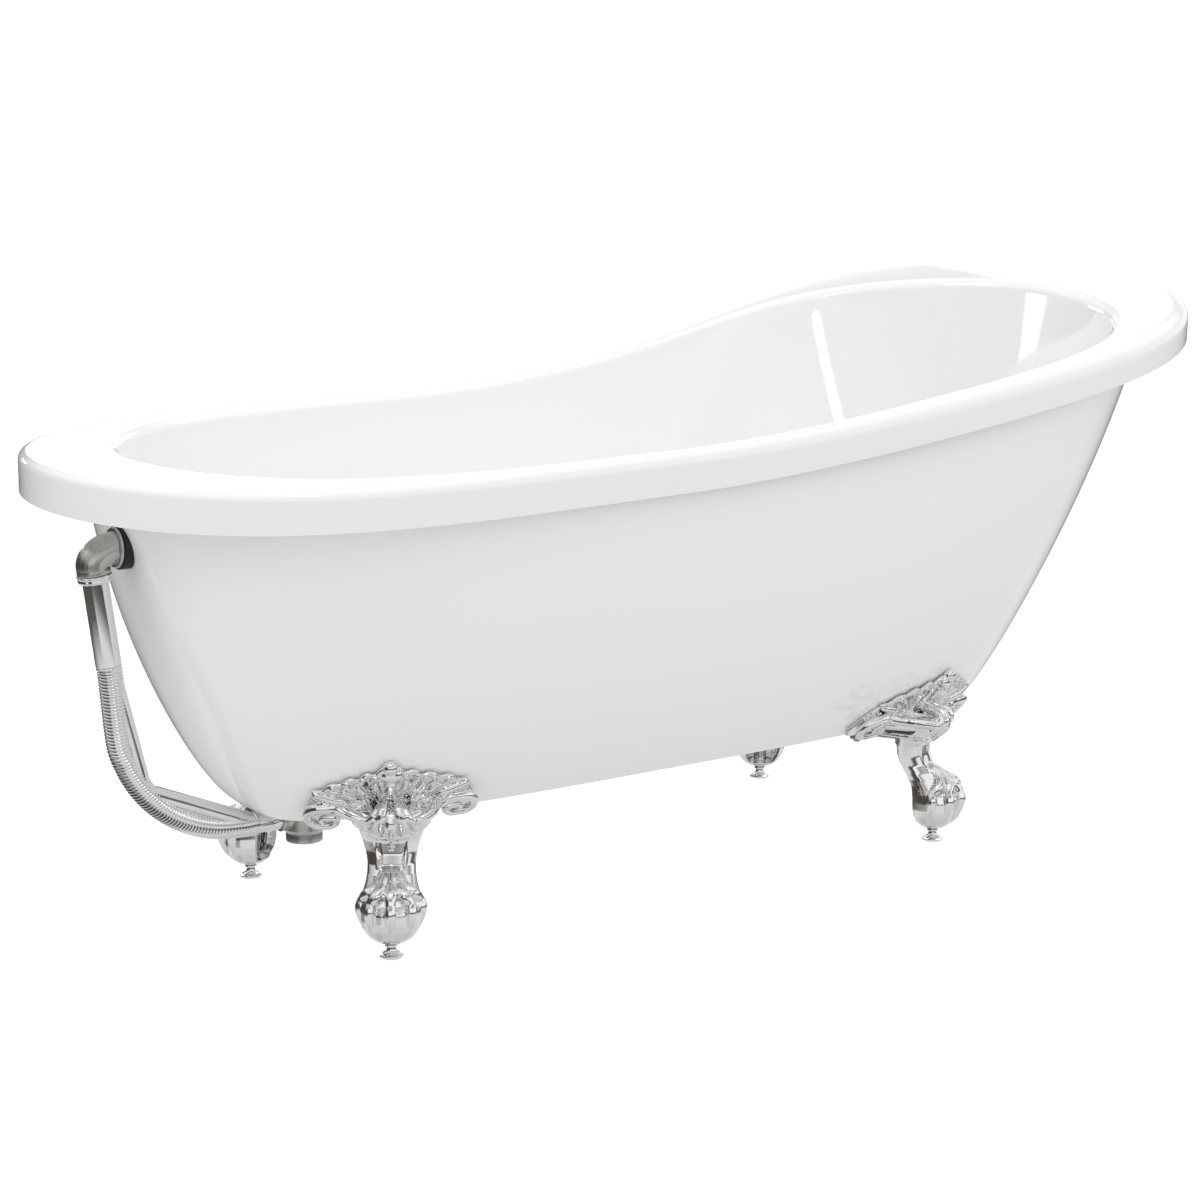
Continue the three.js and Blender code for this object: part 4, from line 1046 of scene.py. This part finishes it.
def bent_bar(points, radius):
    """A round bar through the points, flat at both ends."""
    curve = bpy.data.curves.new("bend", "CURVE")
    curve.dimensions = "3D"
    curve.bevel_depth = radius * MM
    curve.bevel_resolution = 8
    curve.resolution_u = 16
    curve.use_fill_caps = True
    spline = curve.splines.new("BEZIER")
    spline.bezier_points.add(len(points) - 1)
    for knot, point in zip(spline.bezier_points, points):
        knot.co = point * MM
        knot.handle_left_type = knot.handle_right_type = "AUTO"
    bar = bpy.data.objects.new("bend", curve)
    bpy.context.scene.collection.objects.link(bar)
    bpy.ops.object.select_all(action="DESELECT")
    bar.select_set(True)
    bpy.context.view_layer.objects.active = bar
    bpy.ops.object.convert(target="MESH")
    return bpy.context.object


bend_line = [
    Vector((-698, 0, 473)), Vector((-704, 0, 472.8)), Vector((-717, 0, 468)),
    PIPE_TOP - pipe_down * 12, PIPE_TOP,
]
elbow = bent_bar(bend_line, 18)
collar_step = spun("step", [(0, -4), (22, -4), (23, -3), (23, 0), (0, 0)], along_x(ELBOW_FACE))
TAIL_LENGTH = ROSE_FACE - 2 - ELBOW_FACE
tail = spun("tail", [(0, 0), (15, 0), (15, TAIL_LENGTH), (0, TAIL_LENGTH)], along_x(ELBOW_FACE))
lip = spun("lip", [(0, -5), (18.8, -5), (18.8, -0.3), (0, -0.3)], down_pipe(PIPE_TOP))
bpy.ops.object.select_all(action="DESELECT")
for piece in (elbow, collar_step, tail, lip):
    piece.select_set(True)
bpy.context.view_layer.objects.active = elbow
bpy.ops.object.join()
elbow.data.remesh_voxel_size = 0.8 * MM
elbow.data.remesh_voxel_adaptivity = 0.0
bpy.ops.object.voxel_remesh()
soften = elbow.modifiers.new("soften", "SMOOTH")
soften.factor = 0.5
soften.iterations = 4
bpy.ops.object.modifier_apply(modifier=soften.name)
cut(elbow, bent_bar(bend_line[:-1] + [PIPE_TOP + pipe_down * 6], 11.5))
bpy.ops.mesh.primitive_cylinder_add(
    vertices=48, radius=11.5 * MM, depth=0.1,
    location=(-0.6501, 0, OVERFLOW_HEIGHT), rotation=(0, math.pi / 2, 0),
)
cut(elbow, bpy.context.object)
elbow = settled(elbow, "overflow_elbow_casting")
fitted(elbow, nickel, "root", "nickel", "overflow_elbow", degrees=50)


# ---- Gaskets ----
# Black rubber rings, moulded square on the fitting's side and to the slope of the skin on the other.
# Flat ones lie under the drain flange, under the shoe's collar and on the plug.
def rubber_finish():
    material = bpy.data.materials.new("black_rubber")
    material.use_nodes = True
    nodes, links = material.node_tree.nodes, material.node_tree.links
    shader = nodes["Principled BSDF"]
    shader.inputs["Specular IOR Level"].default_value = 0.35
    place = nodes.new("ShaderNodeTexCoord")
    bloom = nodes.new("ShaderNodeTexNoise")
    bloom.inputs["Scale"].default_value = 180.0
    bloom.inputs["Detail"].default_value = 5.0
    tint = nodes.new("ShaderNodeValToRGB")
    tint.color_ramp.elements[0].color = (0.010, 0.010, 0.010, 1)
    tint.color_ramp.elements[1].color = (0.028, 0.028, 0.029, 1)
    dull = nodes.new("ShaderNodeMapRange")
    dull.inputs["To Min"].default_value = 0.45
    dull.inputs["To Max"].default_value = 0.70
    bump = nodes.new("ShaderNodeBump")
    bump.inputs["Strength"].default_value = 0.2
    bump.inputs["Distance"].default_value = 0.0003
    links.new(place.outputs["Object"], bloom.inputs["Vector"])
    links.new(bloom.outputs["Fac"], tint.inputs["Fac"])
    links.new(bloom.outputs["Fac"], dull.inputs["Value"])
    links.new(bloom.outputs["Fac"], bump.inputs["Height"])
    links.new(tint.outputs["Color"], shader.inputs["Base Color"])
    links.new(dull.outputs["Result"], shader.inputs["Roughness"])
    links.new(bump.outputs["Normal"], shader.inputs["Normal"])
    return material


rubber = rubber_finish()


def moulded_gasket(name, radius, face, far, surface, clear):
    """A ring from a flat face to a sloping skin: its far edge is laid on the skin point by point."""
    reach = far - face
    low, high = min(0, reach), max(0, reach)
    middle = (low + high) / 2
    profile = eased(
        [(15.6, middle), (15.6, high), (radius, high), (radius, low), (15.6, low), (15.6, middle)], 0.8
    )
    gasket = spun(name, profile, along_x(face))
    for vertex in gasket.data.vertices:
        start = Vector((face * MM, vertex.co.y, vertex.co.z))
        hit, _, _, _ = surface.ray_cast(start, Vector((math.copysign(1, reach), 0, 0)))
        share = (vertex.co.x / MM - face) / reach
        vertex.co.x = face * MM + share * (hit.x - clear * MM - face * MM)
    return gasket


outer_gasket = moulded_gasket("overflow_gasket_outside", 25, ELBOW_FACE + 0.3, -688, skirt_surface, 0.3)
fitted(outer_gasket, rubber, "root", "rubber", "overflow_outer_gasket")
inner_gasket = moulded_gasket("overflow_gasket_inside", 27, ROSE_FACE - 0.3, -644.7, basin_surface, -0.3)
fitted(inner_gasket, rubber, "root", "rubber", "overflow_inner_gasket")
drain_washer = spun(
    "drain_gasket_ring",
    eased([(20.3, 172), (20.3, 172.8), (32, 172.8), (32, 171.3), (20.3, 171.3), (20.3, 172)], 0.4),
    Matrix.Translation((DRAIN_X, 0, 0)),
)
fitted(drain_washer, rubber, "root", "rubber", "drain_gasket")
shoe_washer = spun(
    "shoe_gasket_ring",
    eased([(21, 144.5), (21, 146.1), (30, 146.1), (30, 143.1), (21, 143.1), (21, 144.5)], 0.6),
    Matrix.Translation((DRAIN_X, 0, 0)),
)
fitted(shoe_washer, rubber, "root", "rubber", "shoe_gasket")


# ---- Overflow rose ----
# A domed chrome cover inside the basin, with three slots that let water through, and one screw.
rose = spun(
    "overflow_rose_cover",
    eased([(4, 0.2), (4, 0), (31, 0), (31, 2.6), (23, 7), (4, 8), (4, 0.2)], 1.2),
    along_x(ROSE_FACE),
)
for offset in (-11, 0, 11):
    bpy.ops.mesh.primitive_cube_add(
        size=1, location=((ROSE_FACE + 4) * MM, offset * MM, OVERFLOW_HEIGHT - 15 * MM),
        scale=(30 * MM, 5 * MM, 14 * MM),
    )
    slot_tool = settled(bpy.context.object, "slot_tool")
    soft_ends = slot_tool.modifiers.new("ends", "BEVEL")
    soft_ends.width = 2.2 * MM
    soft_ends.segments = 4
    bpy.ops.object.modifier_apply(modifier=soft_ends.name)
    cut(rose, slot_tool)
fitted(rose, chrome, "root", "chrome", "overflow_rose")
rose_screw = spun(
    "overflow_rose_screw",
    [(0, -10), (3.6, -10), (3.6, 8.3), (7, 8.3), (6.8, 9.4), (5.6, 10.6), (3.4, 11.3), (0, 11.5)],
    along_x(ROSE_FACE),
)
bpy.ops.mesh.primitive_cube_add(
    size=1, location=((ROSE_FACE + 11.6) * MM, 0, OVERFLOW_HEIGHT), scale=(3.4 * MM, 1.4 * MM, 20 * MM)
)
cut(rose_screw, settled(bpy.context.object, "driver_slot"))
fitted(rose_screw, chrome, "root", "chrome", "overflow_screw")


# ---- Overflow pipe ----
# A straight chromed brass pipe hangs from the elbow. A ring nut with a wavy grip clamps its top, and
# its bottom steps in to a spigot for the hose.
ring_nut = spun(
    "overflow_ring_nut",
    eased(
        [
            (14.8, 4), (14.8, 0.3), (19, 0.3), (20, 2), (18.6, 4.4),
            (19.6, 6.8), (18.4, 9.3), (14.8, 9.3), (14.8, 4),
        ],
        0.8,
    ),
    sides=120,
)
for vertex in ring_nut.data.vertices:
    away = Vector((vertex.co.x, vertex.co.y, 0))
    if away.length > 16.5 * MM:
        wave = 0.5 - 0.5 * math.cos(12 * math.atan2(away.y, away.x))
        vertex.co -= away.normalized() * wave * 0.9 * MM
ring_nut.data.transform(down_pipe(PIPE_TOP))
fitted(ring_nut, chrome, "root", "chrome", "overflow_collar")

PIPE_LENGTH = (PIPE_BOTTOM - PIPE_TOP).length
straight_pipe = spun(
    "overflow_straight_pipe",
    eased(
        [
            (10, 50), (10, 0.6), (14.5, 0.6), (14.5, PIPE_LENGTH), (10.7, PIPE_LENGTH),
            (10.7, PIPE_LENGTH + 12), (10, PIPE_LENGTH + 12), (10, 50),
        ],
        0.3,
    ),
    down_pipe(PIPE_TOP), 64,
)
fitted(straight_pipe, chrome, "root", "chrome", "overflow_pipe")


# ---- Corrugated hose ----
# A ribbed chromed hose joins the pipe to the waste: straight down off the pipe, a wide quarter turn,
# and level to the lower pipe. Both its ends are pushed over spigots.
RIB_PITCH = 3.9
hose_knots = [PIPE_BOTTOM + pipe_down * 0.3, PIPE_BOTTOM + pipe_down * 15.3]
for k in range(1, 9):
    swing = math.pi + math.pi / 2 * k / 8
    hose_knots.append(Vector((-550 + 154 * math.cos(swing), 0, 282 + 154 * math.sin(swing))))
hose_knots.append(Vector((-532, 0, 128)))
hose_line = []
padded_knots = [hose_knots[0] * 2 - hose_knots[1], *hose_knots, hose_knots[-1] * 2 - hose_knots[-2]]
for a, b, c, d in zip(padded_knots, padded_knots[1:], padded_knots[2:], padded_knots[3:]):
    for k in range(16):
        t = k / 16
        bend = (a * 2 - b * 5 + c * 4 - d) * t ** 2
        hose_line.append((b * 2 + (c - a) * t + bend + (b * 3 - a - c * 3 + d) * t ** 3) / 2)
hose_line.append(hose_knots[-1])
hose_along = [0.0]
for a, b in zip(hose_line, hose_line[1:]):
    hose_along.append(hose_along[-1] + (b - a).length)
HOSE_LENGTH = hose_along[-1]
rib_count = round(HOSE_LENGTH / RIB_PITCH)
hose_profile = [(11.5, HOSE_LENGTH / 2), (11.5, 0.0)]
for k in range(rib_count * 8 + 1):
    wave = 0.5 - 0.5 * math.cos(2 * math.pi * k / 8)
    hose_profile.append((12.7 + 1.8 * wave ** 0.7, HOSE_LENGTH * k / (rib_count * 8)))
hose_profile += [(11.5, HOSE_LENGTH), (11.5, HOSE_LENGTH / 2)]
hose = spun("overflow_ribbed_hose", hose_profile, sides=40)


def hose_point(distance):
    i = next((k for k in range(len(hose_along) - 2) if hose_along[k + 1] >= distance), len(hose_along) - 2)
    share = (distance - hose_along[i]) / (hose_along[i + 1] - hose_along[i])
    return hose_line[i].lerp(hose_line[i + 1], share)


for vertex in hose.data.vertices:
    distance = min(max(vertex.co.z / MM, 0.0), HOSE_LENGTH)
    run = (hose_point(min(distance + 2, HOSE_LENGTH)) - hose_point(max(distance - 2, 0))).normalized()
    across = Vector((run.z, 0, -run.x))
    vertex.co = (hose_point(distance) + across * (vertex.co.x / MM) + Vector((0, vertex.co.y / MM, 0))) * MM
bpy.ops.object.select_all(action="DESELECT")
hose.select_set(True)
bpy.context.view_layer.objects.active = hose
bpy.ops.object.mode_set(mode="EDIT")
bpy.ops.mesh.select_all(action="SELECT")
bpy.ops.mesh.normals_make_consistent(inside=False)
bpy.ops.object.mode_set(mode="OBJECT")
fitted(hose, chrome, "root", "chrome", "overflow_hose", degrees=60)


# ---- Lower pipe and waste shoe ----
# A short pipe carries the hose's water into the shoe, a brushed nickel cup that is screwed up onto the
# drain's tail. A flat ring at its foot meets the trap.
def level_pipe(x):
    return Matrix.Translation((x * MM, 0, 128 * MM)) @ Matrix.Rotation(math.pi / 2, 4, "Y")


lower_pipe = spun(
    "lower_straight_pipe",
    eased([(9, 10), (9, -12), (10.7, -12), (10.7, 0.3), (12.5, 0.3), (12.5, 44), (9, 44), (9, 10)], 0.3),
    level_pipe(-532),
)
fitted(lower_pipe, chrome, "root", "chrome", "lower_pipe")

under_drain = Matrix.Translation((DRAIN_X, 0, 0))
shoe = spun(
    "shoe",
    eased(
        [
            (0, 97.3), (18.4, 97.3), (18.4, 107.3), (22, 107.3), (25, 112),
            (25, 138.8), (30, 138.8), (30, 142.8), (0, 142.8),
        ],
        1.0,
    ),
    under_drain,
)
socket = spun(
    "socket", eased([(0, 0), (15.6, 0), (15.6, 4), (14.8, 5), (14.8, 34), (0, 34)], 0.6), level_pipe(-501)
)
bpy.ops.object.select_all(action="DESELECT")
bpy.context.view_layer.objects.active = shoe
joint = shoe.modifiers.new("joint", "BOOLEAN")
joint.operation = "UNION"
joint.solver = "EXACT"
joint.object = socket
bpy.ops.object.modifier_apply(modifier=joint.name)
bpy.data.objects.remove(socket)
cut(shoe, spun("bore", [(0, 119.8), (20.3, 119.8), (20.3, 150), (0, 150)], under_drain))
cut(shoe, spun("bore", [(0, 90), (16, 90), (16, 130), (0, 130)], under_drain))
cut(shoe, spun("bore", [(0, -2), (12.8, -2), (12.8, 14), (9.5, 14), (9.5, 30), (0, 30)], level_pipe(-501)))
shoe = settled(shoe, "waste_shoe_casting")
fitted(shoe, nickel, "root", "nickel", "waste_shoe")
outlet = spun(
    "waste_outlet_ring",
    eased([(18.7, 102), (18.7, 107), (22, 107), (22, 97), (18.7, 97), (18.7, 102)], 0.8),
    under_drain,
)
fitted(outlet, nickel, "root", "nickel", "outlet_ring")


# ---- Drain and plug ----
# A chrome flange is drawn down onto the basin's floor by the shoe. The lift-up plug drops into it: a
# domed cap over a rubber seal, on a stem that a bar across the tail guides.
flange = spun(
    "drain_flange_casting",
    eased(
        [
            (17, 150), (17, 125.8), (20, 125.8), (20, 173.1), (35, 173.1), (34.6, 174.6),
            (33, 176.1), (24, 176.1), (17, 170.1), (17, 150),
        ],
        0.6,
    ),
    under_drain,
)
bpy.ops.mesh.primitive_cube_add(size=1, location=(DRAIN_X, 0, 128.8 * MM), scale=(35 * MM, 15 * MM, 6 * MM))
guide = settled(bpy.context.object, "guide")
bridge = flange.modifiers.new("guide", "BOOLEAN")
bridge.operation = "UNION"
bridge.solver = "EXACT"
bridge.object = guide
bpy.ops.object.select_all(action="DESELECT")
bpy.context.view_layer.objects.active = flange
bpy.ops.object.modifier_apply(modifier=bridge.name)
bpy.data.objects.remove(guide)
cut(flange, spun("bore", [(0, 110), (4.3, 110), (4.3, 160), (0, 160)], under_drain))
fitted(flange, chrome, "root", "chrome", "drain_flange")

cap = spun(
    "plug_domed_cap",
    eased([(0, 176.4), (29.6, 176.4), (30, 177.9), (27, 180.4), (15, 182.4), (0, 182.9)], 1.4),
    under_drain, 64,
)
fitted(cap, chrome, "plug", "chrome", "plug_cap")
seal = spun(
    "plug_seal_ring",
    eased([(7.3, 175), (7.3, 176.1), (21, 176.1), (20.6, 174.6), (7.3, 174.6), (7.3, 175)], 0.4),
    under_drain,
)
fitted(seal, rubber, "plug", "rubber", "plug_seal")
stem = spun(
    "plug_guide_stem",
    eased([(0, 123.8), (4, 123.8), (4, 172.1), (7, 172.1), (7, 176.1), (0, 176.1)], 0.4),
    under_drain, 32,
)
fitted(stem, nickel, "plug", "nickel", "plug_stem")
